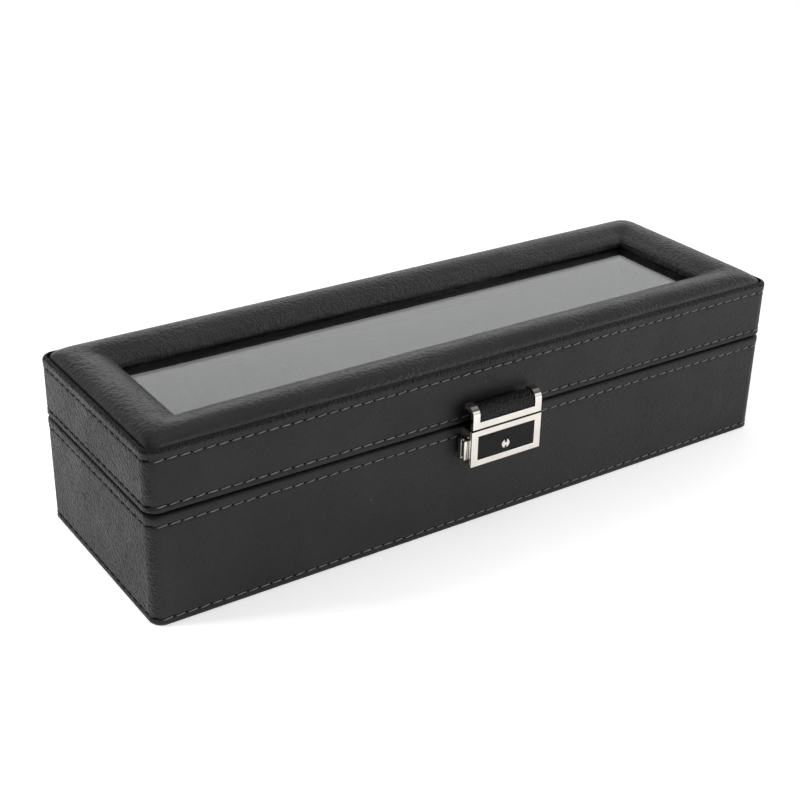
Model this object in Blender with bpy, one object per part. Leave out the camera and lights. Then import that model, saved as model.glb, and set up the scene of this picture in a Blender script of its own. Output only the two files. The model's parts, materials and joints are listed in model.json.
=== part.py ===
"""Watch box with a padded window lid, a push-button hasp lock and a velvet interior.

Units are metres, +X runs along the box, the lock faces -Y and +Z is up.
The origin is on the underside, in the middle of the box's footprint.
"""

import math

import bmesh
import bpy
from mathutils import Matrix, Vector

MM = 0.001

# ---- the whole box -------------------------------------------------------------------------------
LENGTH = 315.0 * MM
DEPTH = 100.0 * MM
BASE_HEIGHT = 48.5 * MM
LID_GAP = 0.8 * MM
LID_HEIGHT = 26.2 * MM
CORNER_RADIUS = 5.5 * MM
CORNER_STEPS = 6

# ---- material thicknesses and clearances ---------------------------------------------------------
LEATHER = 1.2 * MM
WOOD = 4.2 * MM
FLOOR = 4.0 * MM
VELVET_BOARD = 1.7 * MM
TOUCH = 0.3 * MM
RUNNING = 0.1 * MM
PAST = 1.0 * MM
EDGE_RADIUS = 1.0 * MM
EDGE_STEPS = 3
MIN_CORNER = 0.8 * MM

# ---- interior ------------------------------------------------------------------------------------
SLOTS = 6
NECK_RISE = 4.0 * MM
DIVIDER = 2.5 * MM
DIVIDER_DROP = 2.5 * MM
BOTTOM_FOLD = 9.0 * MM
CUSHION_SIDE_GAP = 1.0 * MM
CUSHION_END_GAP = 4.0 * MM
CUSHION_DROP = 1.5 * MM
CUSHION_ROUND = 4.0 * MM

# ---- lid -----------------------------------------------------------------------------------------
WINDOW_MARGIN = 23.5 * MM
WINDOW_LIP = 0.8 * MM
GLASS = 2.0 * MM
GLASS_DROP = 4.2 * MM
GLASS_LAP = 3.5 * MM
DECK = 3.5 * MM
RETAINER = 1.5 * MM
RETAINER_LAP = 4.0 * MM
PAD_CROWN = 3.9 * MM
PAD_CREST_INSET = 10.5 * MM
RIM_WIDTH = 1.6 * MM
LINING_RISE = 2.0 * MM

# ---- lid hinges ----------------------------------------------------------------------------------
HINGE_SPAN = 190.0 * MM
HINGE_WIDTH = 28.0 * MM
HINGE_PLATE = 0.7 * MM
HINGE_REACH = 5.7 * MM
HINGE_SPLIT = 0.4 * MM
KNUCKLE_RADIUS = 1.6 * MM
HINGE_PIN_RADIUS = 0.8 * MM
KNUCKLES = 3

# ---- lock ----------------------------------------------------------------------------------------
LOCK_WIDTH = 36.0 * MM
LOCK_HEIGHT = 16.4 * MM
LOCK_DEPTH = 8.5 * MM
LOCK_RISE = 0.5 * MM
BEZEL_SIDE = 3.4 * MM
BEZEL_TOP = 2.8 * MM
BEZEL_THICK = 1.0 * MM
CASE_INSET = 0.3 * MM
CASE_WALL = 0.9 * MM
CASE_FRONT = 0.6 * MM
INLAY_THICK = 0.6 * MM
PLATE_THICK = 0.8 * MM

# ---- key barrel, button and slider ---------------------------------------------------------------
BARREL_RADIUS = 2.0 * MM
BARREL_DROP = 10.0 * MM
KEY_SLOT_WIDTH = 0.9 * MM
KEY_SLOT_DEPTH = 1.2 * MM
KEY_SLOT_SINK = 1.0 * MM
BARREL_TAIL = 2.0 * MM
CAM_LENGTH = 4.3 * MM
CAM_WIDTH = 3.2 * MM
CAM_THICK = 1.0 * MM
BUTTON_TRAVEL = 1.5 * MM
BUTTON_REACH = 2.0 * MM
BUTTON_HEIGHT = 9.0 * MM
BUTTON_GROOVE = 1.0 * MM
BUTTON_GROOVE_SHARE = 0.3
BUTTON_ROUNDING = 0.4 * MM
BUTTON_DROP = 1.0 * MM
SLIDER_HEIGHT = 2.6 * MM
SLIDER_DEPTH = 3.0 * MM
FINGER_WIDTH = 2.0 * MM
FINGER_RISE = 2.8 * MM
SLIDER_TAIL = 2.0 * MM
LUG_WIDTH = 3.0 * MM
LUG_HEIGHT = 1.4 * MM
SPRING_RADIUS = 1.2 * MM
SPRING_WIRE = 0.3 * MM
SPRING_TURNS = 5

# ---- hasp ----------------------------------------------------------------------------------------
HASP_WIDTH = 35.2 * MM
HASP_HEIGHT = 9.9 * MM
HASP_GAP = 0.6 * MM
HASP_ARM = 3.4 * MM
HASP_BAR = 3.1 * MM
HASP_THICK = 1.8 * MM
HASP_FLAT = 0.2 * MM
HASP_INLAY = 1.0 * MM
HASP_INLAY_SINK = 0.2 * MM
HASP_AXIS_OUT = 3.0 * MM
HASP_AXIS_DROP = 2.5 * MM
HASP_KNUCKLE = 1.0 * MM
HASP_PIN = 0.45 * MM
HASP_LEAF_WIDTH = 26.0 * MM
HASP_LEAF_DROP = 3.7 * MM
HASP_TAIL = 1.2 * MM
BEND_STEPS = 6
PIN_SIDES = 16

# ---- levels worked out from the sizes above ------------------------------------------------------
FRONT = -DEPTH / 2
REAR = DEPTH / 2
CARCASS_INSET = LEATHER + TOUCH
WALL_INSET = CARCASS_INSET + WOOD
LINING_INSET = WALL_INSET + TOUCH
NECK_CLEARANCE = 2 * TOUCH
NECK_OUTER = WALL_INSET + NECK_CLEARANCE
NECK_INNER = NECK_OUTER + VELVET_BOARD
FLOOR_TOP = CARCASS_INSET + FLOOR
BOARD_Z = FLOOR_TOP + TOUCH + VELVET_BOARD + TOUCH
LID_BOTTOM = BASE_HEIGHT + LID_GAP
RIM_TOP = LID_BOTTOM + LID_HEIGHT
LIP_TOP = RIM_TOP - WINDOW_LIP
GLASS_TOP = RIM_TOP - GLASS_DROP
GLASS_BOTTOM = GLASS_TOP - GLASS
DECK_TOP = GLASS_BOTTOM + DECK
RETAINER_TOP = GLASS_BOTTOM - TOUCH
RETAINER_BOTTOM = RETAINER_TOP - RETAINER
GLASS_INSET = WINDOW_MARGIN - GLASS_LAP
HINGE_Z = BASE_HEIGHT + LID_GAP / 2
HINGE_Y = REAR + KNUCKLE_RADIUS + TOUCH
LOCK_TOP = BASE_HEIGHT + LOCK_RISE
LOCK_BOTTOM = LOCK_TOP - LOCK_HEIGHT
LOCK_FACE = FRONT - LOCK_DEPTH
BARREL_Z = LOCK_TOP - BARREL_DROP
CASE_FACE = LOCK_FACE + BEZEL_THICK + TOUCH
CASE_TOP = LOCK_TOP - CASE_INSET
CASE_BOTTOM = LOCK_BOTTOM + CASE_INSET
CASE_HALF = LOCK_WIDTH / 2 - CASE_INSET
CASE_INNER_FACE = CASE_FACE + CASE_FRONT
CASE_BACK = FRONT - TOUCH
BUTTON_DEPTH = CASE_BACK - CASE_WALL - CASE_INNER_FACE - 2 * TOUCH
HASP_BOTTOM = LOCK_TOP + HASP_GAP
HASP_TOP = HASP_BOTTOM + HASP_HEIGHT
HASP_Y = FRONT - HASP_AXIS_OUT
HASP_Z = HASP_TOP - HASP_AXIS_DROP
HASP_BEND = HASP_Y - HASP_KNUCKLE - TOUCH - HASP_FLAT - LOCK_FACE
SLIDER_TOP = CASE_TOP - CASE_WALL - 2 * TOUCH
SLIDER_Y = CASE_INNER_FACE + TOUCH + BUTTON_DEPTH / 2 + TOUCH
LUG_Z = HASP_BOTTOM + HASP_GAP
FINGER_X = LUG_WIDTH / 2 + TOUCH


# ---- materials -----------------------------------------------------------------------------------
def finish(name, color, roughness, metallic=0.0, alpha=1.0):
    """A Principled material that the parts of one finish share."""
    material = bpy.data.materials.new(name)
    material.use_nodes = True
    shader = material.node_tree.nodes["Principled BSDF"]
    shader.inputs["Base Color"].default_value = (*color, 1.0)
    shader.inputs["Roughness"].default_value = roughness
    shader.inputs["Metallic"].default_value = metallic
    shader.inputs["Alpha"].default_value = alpha
    return material


def make_finishes():
    """Every finish of the box, by name."""
    return {
        "leather": finish("black_leather", (0.022, 0.022, 0.024), 0.5),
        "velvet": finish("black_velvet", (0.02, 0.02, 0.022), 0.9),
        "wood": finish("fibreboard", (0.32, 0.22, 0.13), 0.8),
        "nickel": finish("nickel", (0.72, 0.69, 0.64), 0.2, 1.0),
        "glass": finish("glass", (0.8, 0.85, 0.85), 0.03, 0.0, 0.35),
        "plastic": finish("black_plastic", (0.02, 0.02, 0.022), 0.35),
        "felt": finish("black_felt", (0.018, 0.018, 0.018), 0.95),
    }


# ---- mesh tools ----------------------------------------------------------------------------------
def add_object(name, mesh_data, material, smooth=True):
    """Turn a bmesh into an object with outward faces, and shade its round parts smooth."""
    bmesh.ops.recalc_face_normals(mesh_data, faces=mesh_data.faces[:])
    mesh = bpy.data.meshes.new(name)
    mesh_data.to_mesh(mesh)
    mesh_data.free()
    if smooth:
        mesh.shade_smooth()
        mesh.set_sharp_from_angle(angle=math.radians(35.0))
    obj = bpy.data.objects.new(name, mesh)
    bpy.context.scene.collection.objects.link(obj)
    obj.data.materials.append(material)
    return obj


def arc(center, radius, start, end, steps):
    """Points of an arc in a plane, from one angle to the other, in degrees."""
    points = []
    for step in range(steps + 1):
        angle = math.radians(start + (end - start) * step / steps)
        points.append((center[0] + radius * math.cos(angle), center[1] + radius * math.sin(angle)))
    return points


def footprint(inset):
    """The box's rounded outline, moved inwards by inset."""
    half_x = LENGTH / 2 - inset
    half_y = DEPTH / 2 - inset
    radius = max(CORNER_RADIUS - inset, MIN_CORNER)
    corners = [(half_x, half_y, 0), (-half_x, half_y, 90), (-half_x, -half_y, 180), (half_x, -half_y, 270)]
    points = []
    for x, y, start in corners:
        center = (x - math.copysign(radius, x), y - math.copysign(radius, y))
        points += arc(center, radius, start, start + 90, CORNER_STEPS)
    return points


def add_outline(mesh_data, inset, z):
    """One ring of vertices round the box."""
    return [mesh_data.verts.new((x, y, z)) for x, y in footprint(inset)]


def bridge(mesh_data, lower, upper):
    """Quads between two rings with the same number of vertices."""
    count = len(lower)
    for index in range(count):
        after = (index + 1) % count
        mesh_data.faces.new((lower[index], lower[after], upper[after], upper[index]))


def swept_ring(name, profile, material):
    """A frame round the box: a closed profile of (inset, z) points, swept along the outline."""
    mesh_data = bmesh.new()
    rings = [add_outline(mesh_data, inset, z) for inset, z in profile]
    for index, ring in enumerate(rings):
        bridge(mesh_data, ring, rings[(index + 1) % len(rings)])
    return add_object(name, mesh_data, material)


def swept_tray(name, profile, material):
    """A tray or a plate: an open profile of (inset, z) points, closed by a face at each end."""
    mesh_data = bmesh.new()
    rings = [add_outline(mesh_data, inset, z) for inset, z in profile]
    for lower, upper in zip(rings, rings[1:]):
        bridge(mesh_data, lower, upper)
    mesh_data.faces.new(rings[0])
    mesh_data.faces.new(rings[-1])
    return add_object(name, mesh_data, material)


def box(name, low, high, material, rounding=0.0):
    """A block between two corners, with its edges rounded where asked."""
    mesh_data = bmesh.new()
    size = Vector(high) - Vector(low)
    middle = (Vector(high) + Vector(low)) / 2
    matrix = Matrix.Translation(middle) @ Matrix.Diagonal((*size, 1.0))
    bmesh.ops.create_cube(mesh_data, size=1.0, matrix=matrix)
    if rounding:
        bmesh.ops.bevel(mesh_data, geom=mesh_data.edges[:], offset=rounding, segments=2,
                        profile=0.5, affect="EDGES")
    return add_object(name, mesh_data, material)


def extruded(name, outline, low_x, high_x, material):
    """A solid with a (y, z) outline, between two places along X."""
    mesh_data = bmesh.new()
    ends = [[mesh_data.verts.new((x, y, z)) for y, z in outline] for x in (low_x, high_x)]
    bridge(mesh_data, *ends)
    for ring in ends:
        mesh_data.faces.new(ring)
    return add_object(name, mesh_data, material)


def rod(name, axis, start, end, radius, material, sides=20):
    """A round bar from start to end along one axis, given as a letter."""
    start, end = Vector(start), Vector(end)
    turn = Matrix.Rotation(math.radians(90), 4, "Y" if axis == "X" else "X")
    mesh_data = bmesh.new()
    bmesh.ops.create_cone(mesh_data, cap_ends=True, segments=sides, radius1=radius, radius2=radius,
                          depth=(end - start).length, matrix=Matrix.Translation((start + end) / 2) @ turn)
    return add_object(name, mesh_data, material)


def hide_tool(obj):
    """A cutter or a joined shape isn't a part by itself."""
    obj.hide_render = True
    obj.display_type = "WIRE"


def combine(target, tool, operation):
    """Cut tool from target, or join it on."""
    modifier = target.modifiers.new(operation.lower(), "BOOLEAN")
    modifier.operation = operation
    modifier.object = tool
    hide_tool(tool)


def joint_axis(name, place, parent=None):
    """An empty on a joint's axis, which its moving pieces follow."""
    empty = bpy.data.objects.new(name, None)
    bpy.context.scene.collection.objects.link(empty)
    empty.matrix_world = Matrix.Translation(place)
    if parent:
        attach(empty, parent, place)
    return empty


def attach(obj, parent, place):
    """Parent obj to the empty at place, and leave it where it is."""
    obj.parent = parent
    obj.matrix_parent_inverse = Matrix.Translation(-Vector(place))


# ---- base ----------------------------------------------------------------------------------------
def side_wrap(name, bottom, top, bottom_fold, top_fold, material):
    """Leather round the side of a tray, folded in at its bottom and its top edge."""
    profile = [(bottom_fold, bottom)]
    profile += arc((EDGE_RADIUS, bottom + EDGE_RADIUS), EDGE_RADIUS, 270, 180, EDGE_STEPS)
    profile += arc((EDGE_RADIUS, top - EDGE_RADIUS), EDGE_RADIUS, 180, 90, EDGE_STEPS)
    profile += [(top_fold, top), (top_fold, top - LEATHER), (LEATHER, top - LEATHER)]
    profile += [(LEATHER, bottom + LEATHER), (bottom_fold, bottom + LEATHER)]
    return swept_ring(name, profile, material)


def make_base(finishes):
    """The wooden tray, its leather and the sheet underneath."""
    cover = side_wrap("base_cover", 0.0, BASE_HEIGHT, BOTTOM_FOLD, WALL_INSET, finishes["leather"])
    wall_top = BASE_HEIGHT - LEATHER - TOUCH
    profile = [(CARCASS_INSET, CARCASS_INSET), (CARCASS_INSET, wall_top), (WALL_INSET, wall_top),
               (WALL_INSET, FLOOR_TOP)]
    swept_tray("base_carcass", profile, finishes["wood"])
    sheet_inset = BOTTOM_FOLD + TOUCH
    swept_tray("bottom_cover", [(sheet_inset, 0.0), (sheet_inset, LEATHER)], finishes["felt"])
    return cover


def wall_boards(prefix, outer, inner, bottom, top, material):
    """Four thin boards along the inside of the walls, the end ones between the long ones."""
    half_x = LENGTH / 2 - outer
    half_y = DEPTH / 2 - outer
    inner_x = LENGTH / 2 - inner
    inner_y = DEPTH / 2 - inner
    end_y = inner_y - TOUCH
    return [
        box(prefix + "_front", (-half_x, -half_y, bottom), (half_x, -inner_y, top), material),
        box(prefix + "_back", (-half_x, inner_y, bottom), (half_x, half_y, top), material),
        box(prefix + "_left", (-half_x, -end_y, bottom), (-inner_x, end_y, top), material),
        box(prefix + "_right", (inner_x, -end_y, bottom), (half_x, end_y, top), material),
    ]


def cushion(name, center_x, half_x, half_y, bottom, top, material):
    """A watch cushion: a soft block whose ends and edges are rounded."""
    half_z = (top - bottom) / 2
    middle_z = (top + bottom) / 2
    mesh_data = bmesh.new()
    rings = []
    for x, shrink in ((-half_x, CUSHION_ROUND), (-half_x + CUSHION_ROUND / 2, 0.0),
                      (half_x - CUSHION_ROUND / 2, 0.0), (half_x, CUSHION_ROUND)):
        ring = []
        for step in range(20):
            angle = 2 * math.pi * step / 20
            cosine, sine = math.cos(angle), math.sin(angle)
            y = math.copysign(abs(cosine) ** 0.55, cosine) * (half_y - shrink)
            z = middle_z + math.copysign(abs(sine) ** 0.55, sine) * (half_z - shrink)
            ring.append(mesh_data.verts.new((center_x + x, y, z)))
        rings.append(ring)
    for lower, upper in zip(rings, rings[1:]):
        bridge(mesh_data, lower, upper)
    mesh_data.faces.new(rings[0])
    mesh_data.faces.new(rings[-1])
    return add_object(name, mesh_data, material)


def make_interior(finishes):
    """The velvet floor, the neck that stands into the lid, the dividers and the cushions."""
    velvet = finishes["velvet"]
    floor = [(LINING_INSET, FLOOR_TOP + TOUCH), (LINING_INSET, FLOOR_TOP + TOUCH + VELVET_BOARD)]
    swept_tray("floor_lining", floor, velvet)
    wall_boards("neck", NECK_OUTER, NECK_INNER, BOARD_Z, BASE_HEIGHT + NECK_RISE, velvet)
    clear_half_x = LENGTH / 2 - NECK_INNER
    clear_half_y = DEPTH / 2 - NECK_INNER
    pitch = 2 * clear_half_x / SLOTS
    divider_half_y = clear_half_y - TOUCH
    divider_top = BASE_HEIGHT - DIVIDER_DROP
    for number in range(1, SLOTS):
        x = -clear_half_x + number * pitch
        box("divider_%d" % number, (x - DIVIDER / 2, -divider_half_y, BOARD_Z),
            (x + DIVIDER / 2, divider_half_y, divider_top), velvet)
    cushion_half_x = (pitch - DIVIDER) / 2 - CUSHION_SIDE_GAP
    cushion_half_y = clear_half_y - CUSHION_END_GAP
    cushion_top = BASE_HEIGHT - CUSHION_DROP
    for number in range(SLOTS):
        x = -clear_half_x + (number + 0.5) * pitch
        cushion("cushion_%d" % (number + 1), x, cushion_half_x, cushion_half_y, BOARD_Z, cushion_top, velvet)


# ---- lid -----------------------------------------------------------------------------------------
def pad_profile():
    """The padded frame's section: a steep outer shoulder, a crown, and a lip down to the glass."""
    outer = RIM_WIDTH + TOUCH
    bottom = DECK_TOP + TOUCH
    shoulder = RIM_TOP - 2 * TOUCH
    crest = RIM_TOP + PAD_CROWN
    rise = PAD_CREST_INSET - outer
    fall = WINDOW_MARGIN - PAD_CREST_INSET
    points = [(outer, bottom), (outer, shoulder)]
    for step in range(1, 6):
        angle = math.radians(90.0 * step / 5)
        points.append((outer + rise * (1 - math.cos(angle)), shoulder + (crest - shoulder) * math.sin(angle)))
    for step in range(1, 6):
        share = step / 5
        drop = (crest - LIP_TOP) * (1 - math.cos(math.pi * share / 2))
        points.append((PAD_CREST_INSET + fall * share, crest - drop))
    seat = GLASS_TOP + TOUCH
    points += [(WINDOW_MARGIN, seat), (GLASS_INSET, seat), (GLASS_INSET, bottom)]
    return points


def make_lid(finishes):
    """The lid's wooden frame, leather, pad, glass and lining. Returns what moves with it."""
    leather = finishes["leather"]
    velvet = finishes["velvet"]
    cover = side_wrap("lid_cover", LID_BOTTOM, RIM_TOP, WALL_INSET - TOUCH, RIM_WIDTH, leather)
    wall_bottom = LID_BOTTOM + LEATHER + TOUCH
    board_inset = GLASS_INSET - TOUCH
    frame = [(CARCASS_INSET, wall_bottom), (CARCASS_INSET, DECK_TOP), (board_inset, DECK_TOP),
             (board_inset, GLASS_BOTTOM), (WALL_INSET, GLASS_BOTTOM), (WALL_INSET, wall_bottom)]
    carcass = swept_ring("lid_carcass", frame, finishes["wood"])
    pad = swept_ring("pad_frame", pad_profile(), leather)
    half_x = LENGTH / 2 - GLASS_INSET
    half_y = DEPTH / 2 - GLASS_INSET
    glass = box("glass_pane", (-half_x, -half_y, GLASS_BOTTOM), (half_x, half_y, GLASS_TOP),
                finishes["glass"])
    window = WINDOW_MARGIN + RETAINER_LAP - GLASS_LAP
    keeper = [(LINING_INSET, RETAINER_BOTTOM), (LINING_INSET, RETAINER_TOP), (window, RETAINER_TOP),
              (window, RETAINER_BOTTOM)]
    retainer = swept_ring("glass_retainer", keeper, velvet)
    lining_bottom = BASE_HEIGHT + NECK_RISE + LINING_RISE
    lining = wall_boards("lid_lining", LINING_INSET, LINING_INSET + VELVET_BOARD, lining_bottom,
                         RETAINER_BOTTOM - TOUCH, velvet)
    return cover, [cover, carcass, pad, glass, retainer] + lining


# ---- lid hinges ----------------------------------------------------------------------------------
def hinge_leaf(name, center_x, plate_bottom, mine, material):
    """A leaf in the rim's notch and its share of the knuckles round the pin."""
    left = center_x - HINGE_WIDTH / 2
    right = center_x + HINGE_WIDTH / 2
    inner = REAR - HINGE_REACH
    outer = REAR - RUNNING
    top = plate_bottom + HINGE_PLATE
    leaf = box(name, (left, inner, plate_bottom), (right, outer, top), material)
    pitch = HINGE_WIDTH / KNUCKLES
    for index in range(KNUCKLES):
        if (index % 2 == 0) != mine:
            continue
        low_x = left + index * pitch + TOUCH / 2
        high_x = low_x + pitch - TOUCH
        tag = "%s_%d" % (name, index)
        combine(leaf, box(tag + "_tongue", (low_x, outer - PAST, plate_bottom), (high_x, HINGE_Y, top),
                          material), "UNION")
        combine(leaf, rod(tag + "_knuckle", "X", (low_x, HINGE_Y, HINGE_Z), (high_x, HINGE_Y, HINGE_Z),
                          KNUCKLE_RADIUS, material), "UNION")
    bore_radius = HINGE_PIN_RADIUS + RUNNING
    combine(leaf, rod(name + "_bore", "X", (left - PAST, HINGE_Y, HINGE_Z), (right + PAST, HINGE_Y, HINGE_Z),
                      bore_radius, material), "DIFFERENCE")
    return leaf


def make_hinges(finishes, base_cover, lid_cover):
    """Two butt hinges let into the rear rims. Returns the pieces that move with the lid."""
    nickel = finishes["nickel"]
    half_split = HINGE_SPLIT / 2
    lid_plate = HINGE_Z + half_split
    base_plate = HINGE_Z - half_split - HINGE_PLATE
    moving = []
    for side, center_x in (("left", -HINGE_SPAN / 2), ("right", HINGE_SPAN / 2)):
        reach = HINGE_WIDTH / 2 + TOUCH
        inner = REAR - WALL_INSET - PAST
        notches = ((base_cover, "base", base_plate - TOUCH, HINGE_Z),
                   (lid_cover, "lid", HINGE_Z, lid_plate + HINGE_PLATE + TOUCH))
        for cover, where, low_z, high_z in notches:
            notch = box("%s_notch_%s" % (where, side), (center_x - reach, inner, low_z),
                        (center_x + reach, REAR + PAST, high_z), nickel)
            combine(cover, notch, "DIFFERENCE")
        hinge_leaf("hinge_base_leaf_" + side, center_x, base_plate, True, nickel)
        moving.append(hinge_leaf("hinge_lid_leaf_" + side, center_x, lid_plate, False, nickel))
        half = HINGE_WIDTH / 2 + TOUCH
        moving.append(rod("hinge_pin_" + side, "X", (center_x - half, HINGE_Y, HINGE_Z),
                          (center_x + half, HINGE_Y, HINGE_Z), HINGE_PIN_RADIUS, nickel))
    return moving


# ---- lock ----------------------------------------------------------------------------------------
def button_range():
    """The push button's place in Y and in Z."""
    low_y = SLIDER_Y - BUTTON_DEPTH / 2
    middle_z = (LOCK_TOP + LOCK_BOTTOM) / 2 - BUTTON_DROP
    return (low_y, low_y + BUTTON_DEPTH), (middle_z - BUTTON_HEIGHT / 2, middle_z + BUTTON_HEIGHT / 2)


def make_lock(finishes):
    """The lock case on the base with its back plate, bezel and inlay."""
    nickel = finishes["nickel"]
    case = box("lock_case", (-CASE_HALF, CASE_FACE, CASE_BOTTOM), (CASE_HALF, CASE_BACK, CASE_TOP), nickel)
    hollow_half = CASE_HALF - CASE_WALL
    combine(case, box("case_hollow", (-hollow_half, CASE_INNER_FACE, CASE_BOTTOM + CASE_WALL),
                      (hollow_half, CASE_BACK + PAST, CASE_TOP - CASE_WALL), nickel), "DIFFERENCE")
    hole_radius = BARREL_RADIUS + TOUCH
    barrel_hole = rod("case_barrel_hole", "Y", (0, CASE_FACE - PAST, BARREL_Z),
                      (0, CASE_INNER_FACE + PAST, BARREL_Z), hole_radius, nickel)
    combine(case, barrel_hole, "DIFFERENCE")
    (low_y, high_y), (low_z, high_z) = button_range()
    combine(case, box("case_button_slot", (-CASE_HALF - PAST, low_y - TOUCH, low_z - TOUCH),
                      (-hollow_half + PAST, high_y + TOUCH, high_z + TOUCH), nickel), "DIFFERENCE")
    finger_half_y = SLIDER_DEPTH / 2 + TOUCH
    slot_end = FINGER_X + FINGER_WIDTH + BUTTON_TRAVEL + TOUCH
    combine(case, box("case_finger_slot",
                      (FINGER_X - TOUCH, SLIDER_Y - finger_half_y, CASE_TOP - CASE_WALL - PAST),
                      (slot_end, SLIDER_Y + finger_half_y, CASE_TOP + PAST), nickel), "DIFFERENCE")
    plate_half = hollow_half - TOUCH
    plate_low = CASE_BOTTOM + CASE_WALL + TOUCH
    plate_high = CASE_TOP - CASE_WALL - TOUCH
    box("lock_backplate", (-plate_half, CASE_BACK - PLATE_THICK, plate_low),
        (plate_half, CASE_BACK, plate_high), nickel)
    half = LOCK_WIDTH / 2
    bezel_back = LOCK_FACE + BEZEL_THICK
    bezel = box("lock_bezel", (-half, LOCK_FACE, LOCK_BOTTOM), (half, bezel_back, LOCK_TOP), nickel)
    opening_half = half - BEZEL_SIDE
    opening_low = LOCK_BOTTOM + BEZEL_TOP
    opening_high = LOCK_TOP - BEZEL_TOP
    combine(bezel, box("bezel_opening", (-opening_half, LOCK_FACE - PAST, opening_low),
                       (opening_half, bezel_back + PAST, opening_high), nickel), "DIFFERENCE")
    inlay = box("lock_inlay", (-opening_half + TOUCH, bezel_back - INLAY_THICK, opening_low + TOUCH),
                (opening_half - TOUCH, bezel_back, opening_high - TOUCH), finishes["plastic"])
    combine(inlay, rod("inlay_hole", "Y", (0, LOCK_FACE - PAST, BARREL_Z), (0, CASE_FACE, BARREL_Z),
                       hole_radius, nickel), "DIFFERENCE")


def make_key(finishes):
    """The key barrel with its two key notches, and the cam on its inner end."""
    nickel = finishes["nickel"]
    inner_end = CASE_INNER_FACE + BARREL_TAIL
    face = LOCK_FACE + TOUCH
    barrel = rod("key_barrel", "Y", (0, face, BARREL_Z), (0, inner_end, BARREL_Z), BARREL_RADIUS, nickel)
    for side in (-1, 1):
        middle = BARREL_Z + side * (BARREL_RADIUS - KEY_SLOT_DEPTH / 2 + PAST / 2)
        reach = KEY_SLOT_DEPTH / 2 + PAST / 2
        notch = box("key_notch_%s" % ("low" if side < 0 else "high"),
                    (-KEY_SLOT_WIDTH / 2, face - PAST, middle - reach),
                    (KEY_SLOT_WIDTH / 2, face + KEY_SLOT_SINK, middle + reach), nickel)
        combine(barrel, notch, "DIFFERENCE")
    cam_start = inner_end + TOUCH
    cam = box("lock_cam", (-CAM_WIDTH / 2, cam_start, BARREL_Z - CAM_WIDTH / 2),
              (CAM_WIDTH / 2, cam_start + CAM_THICK, BARREL_Z + CAM_LENGTH), nickel)
    return [barrel, cam]


def make_button(finishes):
    """The push button in the case's left side, and the slider with the finger that holds the hasp."""
    nickel = finishes["nickel"]
    (low_y, high_y), (low_z, high_z) = button_range()
    head = -CASE_HALF - BUTTON_REACH
    heel = -CASE_HALF + CASE_WALL + BUTTON_REACH
    button = box("release_button", (head, low_y, low_z), (heel, high_y, high_z), nickel, BUTTON_ROUNDING)
    groove_y = low_y + BUTTON_DEPTH * BUTTON_GROOVE_SHARE
    combine(button, box("button_groove", (head - PAST, groove_y, low_z - PAST),
                        (head + BUTTON_GROOVE, groove_y + BUTTON_GROOVE, high_z + PAST), nickel), "DIFFERENCE")
    slider_start = -CASE_HALF + CASE_WALL + TOUCH
    slider_end = FINGER_X + FINGER_WIDTH + SLIDER_TAIL
    low = SLIDER_TOP - SLIDER_HEIGHT
    half = SLIDER_DEPTH / 2
    slider = box("latch_slider", (slider_start, SLIDER_Y - half, low),
                 (slider_end, SLIDER_Y + half, SLIDER_TOP), nickel)
    combine(slider, box("slider_finger", (FINGER_X, SLIDER_Y - half, low + PAST),
                        (FINGER_X + FINGER_WIDTH, SLIDER_Y + half, CASE_TOP + FINGER_RISE), nickel), "UNION")
    return [button, slider], slider_end


def make_spring(finishes, slider_end):
    """The slider's return spring, drawn at the length it has when the button is pushed in."""
    start = slider_end + BUTTON_TRAVEL + TOUCH
    end = CASE_HALF - CASE_WALL - TOUCH - SPRING_WIRE
    middle_z = SLIDER_TOP - SLIDER_HEIGHT / 2
    curve = bpy.data.curves.new("return_spring", "CURVE")
    curve.dimensions = "3D"
    curve.bevel_depth = SPRING_WIRE
    curve.bevel_resolution = 1
    curve.use_fill_caps = True
    curve.render_resolution_u = 0
    per_turn = 12
    count = SPRING_TURNS * per_turn + 1
    spline = curve.splines.new("POLY")
    spline.points.add(count - 1)
    for index in range(count):
        angle = 2 * math.pi * index / per_turn
        x = start + SPRING_WIRE + (end - start - SPRING_WIRE) * index / (count - 1)
        y = SLIDER_Y + SPRING_RADIUS * math.cos(angle)
        z = middle_z + SPRING_RADIUS * math.sin(angle)
        spline.points[index].co = (x, y, z, 1.0)
    obj = bpy.data.objects.new("return_spring", curve)
    bpy.context.scene.collection.objects.link(obj)
    obj.data.materials.append(finishes["nickel"])


# ---- hasp ----------------------------------------------------------------------------------------
def hasp_section(sink, thickness, tail_y):
    """The (y, z) section of a plate that rises in front of the lock and bends back over the top."""
    face = LOCK_FACE + sink
    top = HASP_TOP - sink
    radius = HASP_BEND - sink
    center = (face + radius, top - radius)
    outer = [(face, HASP_BOTTOM)] + arc(center, radius, 180, 90, BEND_STEPS)
    inner = arc(center, radius - thickness, 90, 180, BEND_STEPS) + [(face + thickness, HASP_BOTTOM)]
    end = max(tail_y, center[0] + HASP_FLAT)
    chamfer = min(thickness / 3, (end - center[0]) / 2)
    tail = [(end - chamfer, top), (end, top - chamfer), (end, top - thickness)]
    return outer + tail + inner


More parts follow.
